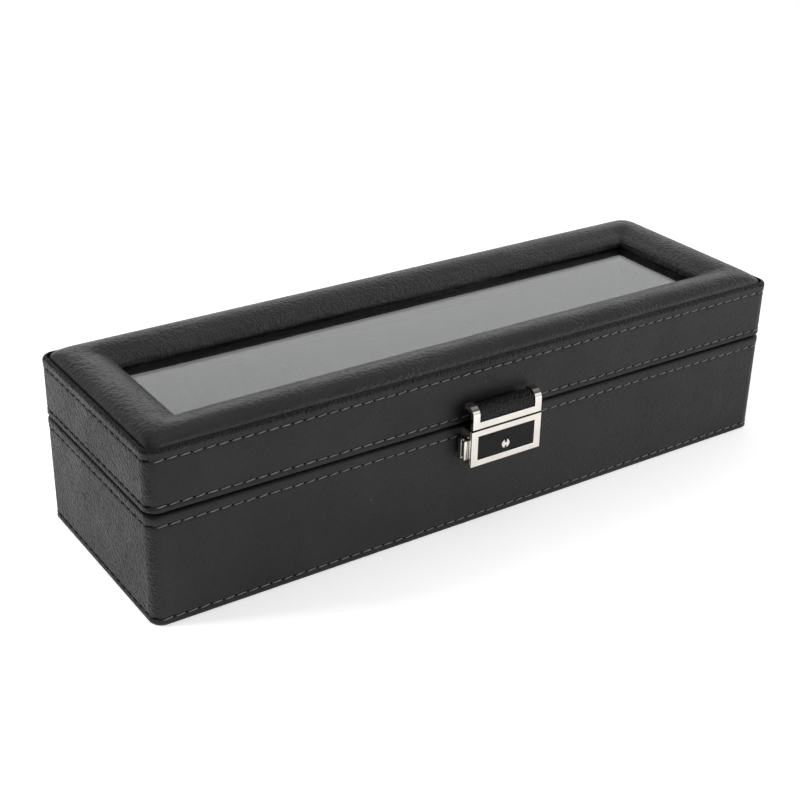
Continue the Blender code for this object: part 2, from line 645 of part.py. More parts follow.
def make_hasp(finishes):
    """The hasp: nickel arms and bar, leather inlay, backing plate and knuckle, and the lug it is held by."""
    nickel = finishes["nickel"]
    half = HASP_WIDTH / 2
    arm_tail = HASP_Y + HASP_TAIL
    inlay_sink = HASP_INLAY_SINK
    backing_sink = inlay_sink + HASP_INLAY + TOUCH
    backing_tail = HASP_Y - HASP_KNUCKLE - TOUCH
    inner = half - HASP_ARM
    frame = extruded("hasp_frame", hasp_section(0.0, HASP_THICK, arm_tail), -half, -inner, nickel)
    overlap = PAST / 2
    pieces = [
        extruded("hasp_arm", hasp_section(0.0, HASP_THICK, arm_tail), inner, half, nickel),
        extruded("hasp_backing", hasp_section(backing_sink, PLATE_THICK, backing_tail), -inner - overlap,
                 inner + overlap, nickel),
        box("hasp_bar", (-half + overlap, LOCK_FACE, HASP_BOTTOM),
            (half - overlap, LOCK_FACE + backing_sink + PLATE_THICK / 2, HASP_BOTTOM + HASP_BAR), nickel),
    ]
    knuckle_half = HASP_LEAF_WIDTH / 2 - HASP_LEAF_WIDTH / 4 - TOUCH
    web_top = HASP_TOP - backing_sink - RUNNING
    pieces.append(box("hasp_web", (-knuckle_half, backing_tail - 2 * TOUCH, web_top - PLATE_THICK),
                      (knuckle_half, HASP_Y, web_top), nickel))
    pieces.append(rod("hasp_knuckle", "X", (-knuckle_half, HASP_Y, HASP_Z), (knuckle_half, HASP_Y, HASP_Z),
                      HASP_KNUCKLE, nickel))
    for piece in pieces:
        combine(frame, piece, "UNION")
    bore_radius = HASP_PIN + RUNNING
    combine(frame, rod("hasp_bore", "X", (-knuckle_half - PAST, HASP_Y, HASP_Z),
                       (knuckle_half + PAST, HASP_Y, HASP_Z), bore_radius, nickel, PIN_SIDES), "DIFFERENCE")
    section = [(y, max(z, HASP_BOTTOM + HASP_BAR + TOUCH))
               for y, z in hasp_section(inlay_sink, HASP_INLAY, HASP_Y - TOUCH)]
    inlay = extruded("hasp_inlay", section, -inner + TOUCH, inner - TOUCH, finishes["leather"])
    lug_front = LOCK_FACE + backing_sink + PLATE_THICK + TOUCH
    lug = box("catch_lug", (-LUG_WIDTH / 2, lug_front, LUG_Z), (LUG_WIDTH / 2, SLIDER_Y + SLIDER_DEPTH / 2,
                                                               LUG_Z + LUG_HEIGHT), nickel)
    return [frame, inlay, lug]


def make_hasp_leaf(finishes):
    """The leaf on the lid's front face, with a knuckle at each end, and the hasp's pin."""
    nickel = finishes["nickel"]
    half = HASP_LEAF_WIDTH / 2
    high = HASP_Z - HASP_KNUCKLE - 2 * TOUCH
    low = high - HASP_LEAF_DROP
    plate_back = FRONT - TOUCH
    leaf = box("hasp_leaf", (-half, plate_back - PLATE_THICK, low), (half, plate_back, high), nickel)
    length = HASP_LEAF_WIDTH / 4
    for side, low_x in (("left", -half), ("right", half - length)):
        high_x = low_x + length
        combine(leaf, box("leaf_shelf_" + side, (low_x, HASP_Y - PLATE_THICK / 2, high - PLATE_THICK),
                          (high_x, plate_back - PLATE_THICK / 2, high), nickel), "UNION")
        combine(leaf, box("leaf_post_" + side, (low_x, HASP_Y - PLATE_THICK / 2, high - PLATE_THICK / 2),
                          (high_x, HASP_Y + PLATE_THICK / 2, HASP_Z - HASP_PIN), nickel), "UNION")
        combine(leaf, rod("leaf_knuckle_" + side, "X", (low_x, HASP_Y, HASP_Z), (high_x, HASP_Y, HASP_Z),
                          HASP_KNUCKLE, nickel), "UNION")
    bore_radius = HASP_PIN + RUNNING
    combine(leaf, rod("leaf_bore", "X", (-half - PAST, HASP_Y, HASP_Z), (half + PAST, HASP_Y, HASP_Z),
                      bore_radius, nickel, PIN_SIDES), "DIFFERENCE")
    pin = rod("hasp_pin", "X", (-half, HASP_Y, HASP_Z), (half, HASP_Y, HASP_Z), HASP_PIN, nickel, PIN_SIDES)
    return [leaf, pin]


# ---- the whole box -------------------------------------------------------------------------------
def clear_scene():
    """Remove what is already in the scene."""
    for obj in list(bpy.data.objects):
        bpy.data.objects.remove(obj, do_unlink=True)


def main():
    """Build every piece and hang the moving ones on their axes."""
    clear_scene()
    finishes = make_finishes()
    base_cover = make_base(finishes)
    make_interior(finishes)
    lid_cover, lid_pieces = make_lid(finishes)
    lid_pieces += make_hinges(finishes, base_cover, lid_cover)
    make_lock(finishes)
    key_pieces = make_key(finishes)
    button_pieces, slider_end = make_button(finishes)
    make_spring(finishes, slider_end)
    hasp_pieces = make_hasp(finishes)
    lid_pieces += make_hasp_leaf(finishes)

    lid_place = (0.0, HINGE_Y, HINGE_Z)
    hasp_place = (0.0, HASP_Y, HASP_Z)
    key_place = (0.0, LOCK_FACE, BARREL_Z)
    button_place = (-CASE_HALF, SLIDER_Y, BARREL_Z)
    lid_axis = joint_axis("lid_hinge_axis", lid_place)
    hasp_axis = joint_axis("hasp_hinge_axis", hasp_place)
    attach(hasp_axis, lid_axis, lid_place)
    groups = ((lid_axis, lid_place, lid_pieces), (hasp_axis, hasp_place, hasp_pieces),
              (joint_axis("key_axis", key_place), key_place, key_pieces),
              (joint_axis("button_axis", button_place), button_place, button_pieces))
    for axis, place, pieces in groups:
        for piece in pieces:
            attach(piece, axis, place)


main()
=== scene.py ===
"""The finished look of a leather watch box with a padded window lid, built round its fixed frame."""

import json
import math

import bmesh
import bpy
import numpy as np
from bpy.props import FloatProperty, FloatVectorProperty, PointerProperty
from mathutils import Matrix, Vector

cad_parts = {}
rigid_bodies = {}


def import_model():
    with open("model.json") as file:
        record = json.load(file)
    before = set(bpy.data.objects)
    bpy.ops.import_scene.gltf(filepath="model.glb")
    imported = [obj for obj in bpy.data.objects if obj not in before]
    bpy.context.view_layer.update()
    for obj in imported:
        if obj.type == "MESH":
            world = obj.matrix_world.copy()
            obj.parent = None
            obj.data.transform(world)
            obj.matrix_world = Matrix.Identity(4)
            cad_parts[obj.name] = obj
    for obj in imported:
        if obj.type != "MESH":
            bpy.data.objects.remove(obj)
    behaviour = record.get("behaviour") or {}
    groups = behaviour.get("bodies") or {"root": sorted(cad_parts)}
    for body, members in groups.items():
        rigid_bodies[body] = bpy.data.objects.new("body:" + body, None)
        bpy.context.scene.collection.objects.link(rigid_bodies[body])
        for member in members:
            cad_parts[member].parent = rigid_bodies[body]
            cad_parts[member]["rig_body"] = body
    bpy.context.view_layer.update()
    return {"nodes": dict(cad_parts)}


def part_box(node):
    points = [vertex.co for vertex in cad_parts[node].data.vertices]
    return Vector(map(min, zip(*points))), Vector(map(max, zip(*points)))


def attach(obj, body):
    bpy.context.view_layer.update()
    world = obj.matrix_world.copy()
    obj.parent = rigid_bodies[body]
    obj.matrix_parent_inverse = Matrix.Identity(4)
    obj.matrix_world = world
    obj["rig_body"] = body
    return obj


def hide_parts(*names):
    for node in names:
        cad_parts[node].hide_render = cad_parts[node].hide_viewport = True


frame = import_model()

bl_info = {
    "name": "Watch Box",
    "version": (1, 0, 0),
    "blender": (4, 5, 0),
    "location": "View3D > Sidebar > Watch Box",
    "description": "Builds a leather watch box with a padded window lid, a hasp lock and watch cushions",
    "category": "Add Mesh",
}

MM = 0.001

# ---- sizes read from the frame ----
BASE_LOW, BASE_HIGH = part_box("base_cover")
LID_LOW, LID_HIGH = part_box("lid_cover")
PAD_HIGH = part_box("pad_frame")[1]
GLASS_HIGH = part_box("glass_pane")[1]
HALF_X = BASE_HIGH.x
HALF_Y = BASE_HIGH.y
PAD_INSET = HALF_X - PAD_HIGH.x
GLASS_INSET = HALF_X - GLASS_HIGH.x

# ---- fixed sizes ----
CORNER = 5.5 * MM
SHARPEST_CORNER = 0.8 * MM
LIP_OVERLAP = 3.5 * MM
WINDOW_INSET = GLASS_INSET + LIP_OVERLAP
LEAF_THICKNESS = 0.8 * MM
LEAF_CLEARANCE = 0.3 * MM
SCREW_LINE = 2.7 * MM
COLUMNS_PER_STITCH = 8
SUNK_SHARE_OF_THREAD = 0.28
BRIGHTEST = 4.0


# ---- settings ----
def length_setting(name, description, default, least=0.0):
    """A length that the user can change."""
    return FloatProperty(name=name, description=description, unit="LENGTH", default=default, min=least)


def number_setting(name, description, default, most=1000.0, unit="NONE"):
    """A number, a share or a power that the user can change."""
    return FloatProperty(name=name, description=description, unit=unit, default=default, min=0.0, max=most)


def color_setting(name, description, default):
    """A colour that the user can change."""
    return FloatVectorProperty(name=name, description=description, subtype="COLOR", default=default,
                               min=0.0, max=1.0)


class LeatherSettings(bpy.types.PropertyGroup):
    """Leather, its grain and its folded edges."""

    color: color_setting("Color", "Colour of the leather", (0.0065, 0.0065, 0.0070))
    grain_size: length_setting("Grain size", "Width of one pebble of the grain", 0.85 * MM, 0.1 * MM)
    grain_depth: length_setting("Grain depth", "Depth of the creases between pebbles", 0.26 * MM)
    grain_front: number_setting("Front grain", "Share of the grain's depth on the front and the back", 0.25)
    grain_ends: number_setting("End grain", "Share of the grain's depth on the two ends", 2.2)
    rim_creases: length_setting("Rim creases", "Depth of the creases along the lid's rim", 0.5 * MM)
    lip_creases: length_setting("Lip creases", "Depth of the creases along the window", 0.3 * MM)
    gloss: number_setting("Gloss", "Strength of the reflections", 0.25, 1.0)
    roughness: number_setting("Roughness", "Roughness on top of the pebbles", 0.44, 1.0)
    dust: number_setting("Dust", "Strength of the specks of dust on the walls", 0.5, 1.0)
    thickness: length_setting("Thickness", "Thickness of the wrap", 1.2 * MM, 0.2 * MM)
    edge_roll: length_setting("Edge roll", "How far a folded edge bulges past its seam", 0.22 * MM)
    seam_depth: length_setting("Seam depth", "How deep a seam pulls the leather in", 0.28 * MM)
    seam_width: length_setting("Seam width", "Half width of the groove along a seam", 0.75 * MM, 0.1 * MM)


class StitchSettings(bpy.types.PropertyGroup):
    """The rows of stitches round the base and the lid."""

    pitch: length_setting("Pitch", "Distance from one stitch to the next", 5.25 * MM, 1.0 * MM)
    gap: length_setting("Gap", "Leather between two stitches", 0.9 * MM, 0.1 * MM)
    thread: length_setting("Thread", "Thickness of the thread", 0.5 * MM, 0.1 * MM)
    # Height of the near-black bead of painted shade in each needle hole.
    hole: length_setting("Hole", "Height of a needle hole", 0.75 * MM, 0.1 * MM)
    slant: FloatProperty(name="Slant", description="Turn of each thread out of its row", subtype="ANGLE",
                         default=math.radians(6))
    # Painted highlight: the thread's colour on the front and the back is lightened to stand for the gloss of
    # dark thread under the front light.
    color: color_setting("Color", "Colour of the thread", (0.15, 0.15, 0.155))
    # Painted shade: the same thread made near black round the two ends.
    shaded_end_color: color_setting("End color", "Colour of the thread round the ends", (0.006, 0.006, 0.006))
    base_low: length_setting("Base low row", "Height of the base's low row over its lower edge", 3.1 * MM)
    base_high: length_setting("Base high row", "Depth of the base's high row under its rim", 4.6 * MM)
    lid_low: length_setting("Lid low row", "Height of the lid's low row over its lower edge", 2.9 * MM)
    lid_high: length_setting("Lid high row", "Depth of the lid's high row under its rim", 4.3 * MM)


class PadSettings(bpy.types.PropertyGroup):
    """The padded frame round the window."""

    pressure: number_setting("Pressure", "Air pressure of the filling while it settles", 3.0)
    reach: length_setting("Reach", "Furthest that the filling may move the leather", 0.9 * MM)
    crest_inset: length_setting("Crest inset", "Distance of the crest from the box's side", 10.5 * MM)
    crest_corner: length_setting("Crest corner", "Radius of the crest's corners", 8.5 * MM)
    lip_drop: length_setting("Lip drop", "Height of the crest over the window's lip", 4.2 * MM)
    pucker: length_setting("Pucker", "Height of the small folds where the leather turns in", 0.12 * MM)


class MetalSettings(bpy.types.PropertyGroup):
    """The nickel of the lock and the hinges."""

    color: color_setting("Color", "Colour of the plating", (0.71, 0.675, 0.63))
    roughness: number_setting("Roughness", "Roughness of the polish", 0.07, 1.0)
    edge: length_setting("Edge", "Rounding of the edges", 0.22 * MM, 0.01 * MM)


class CushionSettings(bpy.types.PropertyGroup):
    """The watch cushions and the velvet boards."""

    pressure: number_setting("Pressure", "Air pressure of the filling while it settles", 4.0)
    voxel: length_setting("Voxel", "Mesh size for the filling", 3.0 * MM, 1.0 * MM)
    shrink: length_setting("Shrink", "How much smaller the cushion is before it is filled", 1.6 * MM)
    reach: length_setting("Reach", "Furthest that the filling may move the velvet", 2.2 * MM)
    seam_inset: length_setting("Seam inset", "Distance of each seam from its end", 4.5 * MM)
    seam_width: length_setting("Seam width", "Half width of the groove along a seam", 0.9 * MM, 0.1 * MM)
    seam_pull: number_setting("Seam pull", "How far a seam draws the cushion in, as a share", 0.022, 1.0)
    flattened: length_setting("Flattened", "How much height the underside loses where it lies", 0.4 * MM)
    color: color_setting("Color", "Colour of the velvet", (0.011, 0.011, 0.0125))


class StageSettings(bpy.types.PropertyGroup):
    """Camera, floor and lights."""

    camera_place: FloatVectorProperty(name="Camera", description="Place of the camera", subtype="XYZ",
                                      unit="LENGTH", default=(-0.3403, -0.4763, 0.3290))
    camera_turn: FloatVectorProperty(name="Camera angles", description="Rotation of the camera, in degrees",
                                     default=(63.230, -1.168, -33.834))
    lens: number_setting("Lens", "Focal length, in millimetres", 66.1)
    horizon: number_setting("Horizon", "Brightness of the walls near the floor", 1.05, BRIGHTEST)
    walls: number_setting("Walls", "Brightness of the walls where they are lightest", 1.35, BRIGHTEST)
    ceiling: number_setting("Ceiling", "Brightness of the ceiling", 0.18, BRIGHTEST)
    zenith: number_setting("Zenith", "Brightness straight overhead", 0.8, BRIGHTEST)
    left_wall: number_setting("Left wall", "Share of the walls' brightness on the left", 0.35, 1.0)
    floor: length_setting("Floor", "Side of the floor", 4.4, 1.0)
    glow: number_setting("Floor glow", "Light that comes through the floor", 0.38)
    front: number_setting("Front light", "Power of the light from the front right", 18.0, unit="POWER")
    left: number_setting("Left light", "Power of the light from the left", 14.5, unit="POWER")
    overhead: number_setting("Overhead light", "Power of the wide light overhead", 8.0, unit="POWER")


SETTINGS = (
    ("watchbox_leather", LeatherSettings),
    ("watchbox_stitches", StitchSettings),
    ("watchbox_pad", PadSettings),
    ("watchbox_metal", MetalSettings),
    ("watchbox_cushions", CushionSettings),
    ("watchbox_stage", StageSettings),
)


# ---- the box's outline ----
class Outline:
    """Columns round the box's rounded outline, at an even distance on the outside."""

    def __init__(self, spacing):
        straight_x = 2 * (HALF_X - CORNER)
        straight_y = 2 * (HALF_Y - CORNER)
        turn = math.pi * CORNER / 2
        self.length = 2 * (straight_x + straight_y) + 4 * turn
        self.count = 4 * round(self.length / spacing / 4)
        self.spacing = self.length / self.count
        self.along = np.arange(self.count) * self.spacing
        sides = ((straight_x, (0, -1), (1, 0)), (straight_y, (1, 0), (0, 1)),
                 (straight_x, (0, 1), (-1, 0)), (straight_y, (-1, 0), (0, -1)))
        self.skeleton = np.zeros((self.count, 2))
        self.normal = np.zeros((self.count, 2))
        for index, place in enumerate(self.along):
            for number, (straight, normal, way) in enumerate(sides):
                if place <= straight:
                    share = 2 * place / straight - 1
                    self.skeleton[index] = (way[0] * share + normal[0], way[1] * share + normal[1])
                    self.normal[index] = normal
                    break
                place -= straight
                if place < turn:
                    angle = math.radians(-90 + 90 * number) + place / CORNER
                    self.skeleton[index] = (way[0] + normal[0], way[1] + normal[1])
                    self.normal[index] = (math.cos(angle), math.sin(angle))
                    break
                place -= turn

    def ring(self, inset, radius=None):
        """Points of the outline moved inwards, as x and y, with the usual corner radius or another."""
        inset = np.asarray(inset, float)
        if radius is None:
            radius = np.maximum(CORNER - inset, SHARPEST_CORNER)
        half = np.stack([HALF_X - inset - radius, HALF_Y - inset - radius], axis=-1)
        return self.skeleton * half + self.normal * radius[..., None]


def arc(center, radius, start, end, steps):
    """Points of an arc in a plane, from one angle to the other, in degrees."""
    angles = np.radians(np.linspace(start, end, steps + 1))
    return [(center[0] + radius * math.cos(a), center[1] + radius * math.sin(a)) for a in angles]


def swept(section, outline):
    """The insets and the heights of a section's rows, repeated along an outline."""
    return tuple(np.repeat(section[:, part:part + 1], outline.count, axis=1) for part in range(2))


def grid_mesh(name, ring, z):
    """A closed ring of quads from the places and the heights of its rows and columns of points."""
    points = np.concatenate([ring, z[..., None]], axis=-1)
    index = np.arange(z.size).reshape(z.shape)
    after_row = np.roll(index, -1, axis=0)
    after_column = np.roll(index, -1, axis=1)
    corner = np.roll(after_row, -1, axis=1)
    faces = np.stack([index, after_column, corner, after_row], axis=-1).reshape(-1, 4)
    mesh = bpy.data.meshes.new(name)
    mesh.from_pydata(points.reshape(-1, 3).tolist(), [], faces.tolist())
    turn_outwards(mesh)
    mesh.shade_smooth()
    return mesh


def turn_outwards(mesh):
    """Make every face of a closed mesh point outwards."""
    work = bmesh.new()
    work.from_mesh(mesh)
    bmesh.ops.recalc_face_normals(work, faces=work.faces[:])
    work.to_mesh(mesh)
    work.free()


def ripple(along, seed, waves=7, shortest=12 * MM):
    """A smooth, closed, repeatable unevenness along the outline, between about -1 and 1."""
    chance = np.random.default_rng(seed)
    total = along[-1] + along[1]
    result = np.zeros_like(along)
    for _ in range(waves):
        turns = chance.integers(3, max(4, int(total / shortest)))
        result += chance.normal() * np.sin(2 * math.pi * turns * along / total + chance.uniform(0, 6.28))
    return result / math.sqrt(waves)


# ---- objects ----
def new_object(name, mesh, finish):
    """Put a mesh in the scene with one of the box's finishes."""
    obj = bpy.data.objects.new(name, mesh)
    bpy.context.scene.collection.objects.link(obj)
    mesh.materials.clear()
    mesh.materials.append(material(finish))
    return obj


def settle(obj):
    """Replace an object's mesh by what its modifiers make of it."""
    graph = bpy.context.evaluated_depsgraph_get()
    mesh = bpy.data.meshes.new_from_object(obj.evaluated_get(graph), depsgraph=graph)
    old = obj.data
    obj.modifiers.clear()
    obj.data = mesh
    if old.users == 0:
        bpy.data.meshes.remove(old)
    return obj


def finish_piece(obj, body, finish, *nodes):
    """A finished piece rides on its body and stands for its CAD nodes."""
    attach(obj, body)
    if nodes:
        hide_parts(*nodes)
    return obj


def dress(node, finish):
    """Give a CAD node whose shape is right its finish."""
    mesh = frame["nodes"][node].data
    mesh.materials.clear()
    mesh.materials.append(material(finish))


def refined(name, node, finish, edge, segments=3, angle=32.0):
    """A CAD node's shape with its faces merged and its edges rounded."""
    mesh = frame["nodes"][node].data.copy()
    work = bmesh.new()
    work.from_mesh(mesh)
    bmesh.ops.remove_doubles(work, verts=work.verts[:], dist=0.002 * MM)
    bmesh.ops.dissolve_limit(work, angle_limit=math.radians(1.0), verts=work.verts[:], edges=work.edges[:])
    work.to_mesh(mesh)
    work.free()
    obj = new_object(name, mesh, finish)
    round_edges(obj, edge, segments, angle)
    return finish_piece(obj, frame["nodes"][node]["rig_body"], finish, node)


def round_edges(obj, edge, segments=3, angle=32.0):
    """Round an object's sharp edges, and shade the rest smooth."""
    for layer in ("sharp_edge", "sharp_face", "custom_normal"):
        attribute = obj.data.attributes.get(layer)
        if attribute:
            obj.data.attributes.remove(attribute)
    obj.data.shade_smooth()
    bevel = obj.modifiers.new("edges", "BEVEL")
    bevel.width = edge
    bevel.segments = segments
    bevel.limit_method = "ANGLE"
    bevel.angle_limit = math.radians(angle)
    bevel.harden_normals = True
    bevel.use_clamp_overlap = True
    return settle(obj)


# ---- filling a soft piece by cloth simulation ----
def positions(mesh):
    """The places of a mesh's vertices, as an array."""
    flat = np.empty(len(mesh.vertices) * 3)
    mesh.vertices.foreach_get("co", flat)
    return flat.reshape(-1, 3)


def place_vertices(mesh, points):
    """Write an array of places back to a mesh."""
    mesh.vertices.foreach_set("co", points.reshape(-1))
    mesh.update()


def inflate(obj, pinned, pressure, reach, frames=20):
    """Fill a soft piece with air by cloth simulation, moving no point further than reach."""
    scene = bpy.context.scene
    start = positions(obj.data)
    group = obj.vertex_groups.new(name="pinned")
    group.add([int(i) for i in np.nonzero(pinned)[0]], 1.0, "REPLACE")
    cloth = obj.modifiers.new("filling", "CLOTH")
    cloth.settings.quality = 6
    cloth.settings.mass = 0.2
    cloth.settings.tension_stiffness = 12
    cloth.settings.compression_stiffness = 12
    cloth.settings.shear_stiffness = 6
    cloth.settings.bending_stiffness = 0.6
    cloth.settings.use_pressure = True
    cloth.settings.uniform_pressure_force = pressure
    cloth.settings.vertex_group_mass = group.name
    cloth.settings.effector_weights.gravity = 0.0
    cloth.collision_settings.use_collision = False
    cloth.point_cache.frame_start = 1
    cloth.point_cache.frame_end = frames
    for number in range(1, frames + 1):
        scene.frame_set(number)
    graph = bpy.context.evaluated_depsgraph_get()
    filled = positions(obj.evaluated_get(graph).data)
    obj.modifiers.clear()
    obj.vertex_groups.clear()
    scene.frame_set(1)
    move = filled - start
    size = np.linalg.norm(move, axis=1, keepdims=True)
    limit = reach * np.tanh(size / reach) / np.maximum(size, 1e-9)
    place_vertices(obj.data, start + move * limit)


def smoothed(obj, levels):
    """Divide a soft piece's surface and keep the result."""
    surface = obj.modifiers.new("surface", "SUBSURF")
    surface.levels = surface.render_levels = levels
    return settle(obj)


# ---- node trees ----
class NodeWriter:
    """A short way to write a node tree."""

    def __init__(self, tree):
        self.tree = tree

    def connect(self, socket, value):
        """Link an output to a socket, or set the socket's value."""
        if isinstance(value, bpy.types.NodeSocket):
            self.tree.links.new(value, socket)
        else:
            socket.default_value = value

    def node(self, kind, inputs=None, output=0, **values):
        """One output of a new node, whose inputs are values or other nodes' outputs."""
        made = self.tree.nodes.new(kind)
        for key, value in values.items():
            setattr(made, key, value)
        for key, value in (inputs or {}).items():
            self.connect(made.inputs[key], value)
        return made.outputs[output]

    def math(self, operation, first, second=0.0, third=0.0):
        """One step of arithmetic."""
        return self.node("ShaderNodeMath", {0: first, 1: second, 2: third}, operation=operation)

    def between(self, value, low, high, new_low=0.0, new_high=1.0):
        """Map a range of values smoothly to another, and stay inside it."""
        return self.node("ShaderNodeMapRange", {"Value": value, "From Min": low, "From Max": high,
                                                "To Min": new_low, "To Max": new_high},
                         interpolation_type="SMOOTHSTEP")

    def axis(self, vector, name):
        """One part of a vector: X, Y or Z."""
        return self.node("ShaderNodeSeparateXYZ", {0: vector}, name)


class Shader(NodeWriter):
    """A procedural material on object coordinates, in metres."""

    def __init__(self, name):
        self.material = bpy.data.materials.new(name)
        self.material.use_nodes = True
        super().__init__(self.material.node_tree)
        self.place = self.node("ShaderNodeTexCoord", output="Object")

    def finish(self, **values):
        """Set the surface's inputs, where an underscore stands for a space, and return the material."""
        surface = self.tree.nodes["Principled BSDF"]
        for key, value in values.items():
            self.connect(surface.inputs[key.replace("_", " ")], value)
        return self.material

    def mapped(self, **inputs):
        """Object coordinates, scaled and turned."""
        return self.node("ShaderNodeMapping", {"Vector": self.place, **inputs})

    def noise(self, scale, detail=2.0, roughness=0.5, vector=None):
        """Noise between 0 and 1."""
        return self.node("ShaderNodeTexNoise", {"Vector": vector or self.place, "Scale": scale,
                                                "Detail": detail, "Roughness": roughness}, "Fac")

    def cells(self, vector, scale, feature="DISTANCE_TO_EDGE"):
        """Distances in a pattern of cells."""
        inputs = {"Vector": vector, "Scale": scale}
        return self.node("ShaderNodeTexVoronoi", inputs, "Distance", feature=feature)

    def warped(self, scale, amount, vector=None):
        """Coordinates pushed about by noise, so that a pattern isn't regular."""
        vector = vector or self.place
        push = self.node("ShaderNodeTexNoise", {"Vector": vector, "Scale": scale, "Detail": 1.0}, "Color")
        centered = self.node("ShaderNodeVectorMath", {0: push, 1: (0.5, 0.5, 0.5)}, operation="SUBTRACT")
        scaled = self.node("ShaderNodeVectorMath", {0: centered, "Scale": amount}, operation="SCALE")
        return self.node("ShaderNodeVectorMath", {0: vector, 1: scaled}, operation="ADD")

    def total(self, *parts):
        """The sum of values, each times its share."""
        result = 0.0
        for value, share in parts:
            result = self.math("MULTIPLY_ADD", value, share, result)
        return result

    def blend(self, share, first, second):
        """A mix of two colours."""
        inputs = {0: share}
        for number, color in ((6, first), (7, second)):
            inputs[number] = color if isinstance(color, bpy.types.NodeSocket) else (*color, 1.0)
        return self.node("ShaderNodeMix", inputs, 2, data_type="RGBA")

    def shades(self, share, color, low, high):
        """A mix of a darker and a lighter shade of one colour."""
        return self.blend(share, [value * low for value in color], [value * high for value in color])

    def bump(self, height, distance, strength=1.0, under=None):
        """Surface detail from a height, on top of coarser detail where there is some."""
        inputs = {"Height": height, "Distance": distance, "Strength": strength}
        if under:
            inputs["Normal"] = under
        return self.node("ShaderNodeBump", inputs)

    def creases(self, share, depth, under):
        """Coarse creases, where the leather is drawn over an edge."""
        upright = self.mapped(Scale=(1.0, 1.0, 0.3))
        cells = self.cells(self.warped(500.0, 0.5 * MM, upright), 900.0)
        lumps = self.math("ADD", self.between(cells, 0.0, 0.35), self.noise(900.0, 1.0, vector=upright))
        return self.bump(self.math("MULTIPLY", lumps, share), depth, 1.0, under)

    def dusted(self, color, strength):
        """A colour with specks of grey dust here and there."""
        specks = self.cells(self.warped(300.0, 1.5 * MM), 170.0, "F1")
        picked = self.between(self.noise(61.0, 1.0), 0.64, 0.7)
        dot = self.math("MULTIPLY", self.between(specks, 0.03, 0.07, 1.0, 0.0), picked)
        return self.blend(self.math("MULTIPLY", dot, strength), color, (0.16, 0.16, 0.155))


# ---- materials ----
def leather_material(name, grain_share, depth_share=1.0, gloss_share=1.0, roughness_shift=0.0, wall=False,
                     creased=None):
    """Black imitation leather: pressed pebbles in slanting rows, uneven polish, and dust on a wall."""
    settings = bpy.context.scene.watchbox_leather
    made = Shader(name)
    scale = 1.0 / (settings.grain_size * grain_share)
    slanted = made.warped(260.0, 0.5 * MM, made.mapped(Rotation=(0.8, 0.6, 0.7), Scale=(1.0, 0.9, 1.0)))
    dome = made.between(made.cells(slanted, scale, "SMOOTH_F1"), 0.1, 0.85, 1.0, 0.0)
    fine = made.between(made.cells(made.warped(700.0, 0.5 * MM), scale * 2.7), 0.0, 0.3)
    depth = made.between(made.noise(45.0), 0.32, 0.68, 0.55, 1.2)
    color = made.shades(made.between(made.noise(24.0, 3.0), 0.3, 0.7), settings.color, 0.8, 1.25)
    if wall:
        sideways = made.math("ABSOLUTE", made.axis(made.node("ShaderNodeTexCoord", output="Normal"), "X"))
        stretched = made.between(sideways, 0.2, 0.8, settings.grain_front, settings.grain_ends)
        depth = made.math("MULTIPLY", depth, stretched)
        color = made.dusted(color, settings.dust)
    grain = made.total((dome, 0.85), (fine, 0.1), (made.noise(2300.0, 1.0), 0.05))
    normal = made.bump(made.noise(150.0), 0.5 * MM, 0.2)
    normal = made.bump(made.math("MULTIPLY", grain, depth), settings.grain_depth * depth_share, 1.0, normal)
    if creased == "rim":
        near_rim = made.between(made.axis(made.place, "Z"), LID_HIGH.z - 2.4 * MM, LID_HIGH.z - 0.9 * MM)
        normal = made.creases(near_rim, settings.rim_creases, normal)
    if creased == "lip":
        drawn_in = made.node("ShaderNodeAttribute", output="Fac", attribute_name="drawn_in")
        normal = made.creases(drawn_in, settings.lip_creases, normal)
    crease = made.between(dome, 0.0, 0.7, 0.14, 0.0)
    polish = made.between(made.noise(55.0, 3.0), 0.3, 0.75, -0.03, 0.05)
    roughness = made.math("ADD", made.math("ADD", crease, settings.roughness + roughness_shift), polish)
    return made.finish(Base_Color=color, Roughness=roughness, Normal=normal,
                       Specular_IOR_Level=settings.gloss * gloss_share)


def thread_with_painted_highlight_material():
    """Thread with a fine twist, lightened to grey to paint the highlight that the front light puts on dark
    glossy thread.
    """
    made = Shader("thread")
    tone = made.between(made.noise(700.0), 0.3, 0.7)
    # Painted highlight: a light grey in place of the dark thread's gloss.
    color = made.shades(tone, bpy.context.scene.watchbox_stitches.color, 0.6, 1.0)
    twist = made.noise(2500.0, 1.0, vector=made.warped(300.0, 1.0 * MM))
    return made.finish(Base_Color=color, Roughness=0.4, Specular_IOR_Level=0.12,
                       Normal=made.bump(twist, 0.04 * MM, 0.5))


def painted_shade_thread_material():
    """The same thread round the ends, made near black and nearly without gloss as painted shade."""
    made = Shader("end_thread")
    tone = made.between(made.noise(700.0), 0.3, 0.7)
    color = made.shades(tone, bpy.context.scene.watchbox_stitches.shaded_end_color, 0.333, 1.0)
    return made.finish(Base_Color=color, Roughness=0.8, Specular_IOR_Level=0.03)


def painted_hole_shade_material():
    """Painted shade: a near-black colour for the unlit inside of a needle hole."""
    made = Shader("needle_hole")
    color = made.shades(made.noise(1500.0, 1.0), (0.004, 0.004, 0.004), 0.375, 1.0)
    return made.finish(Base_Color=color, Roughness=0.95, Specular_IOR_Level=0.02)


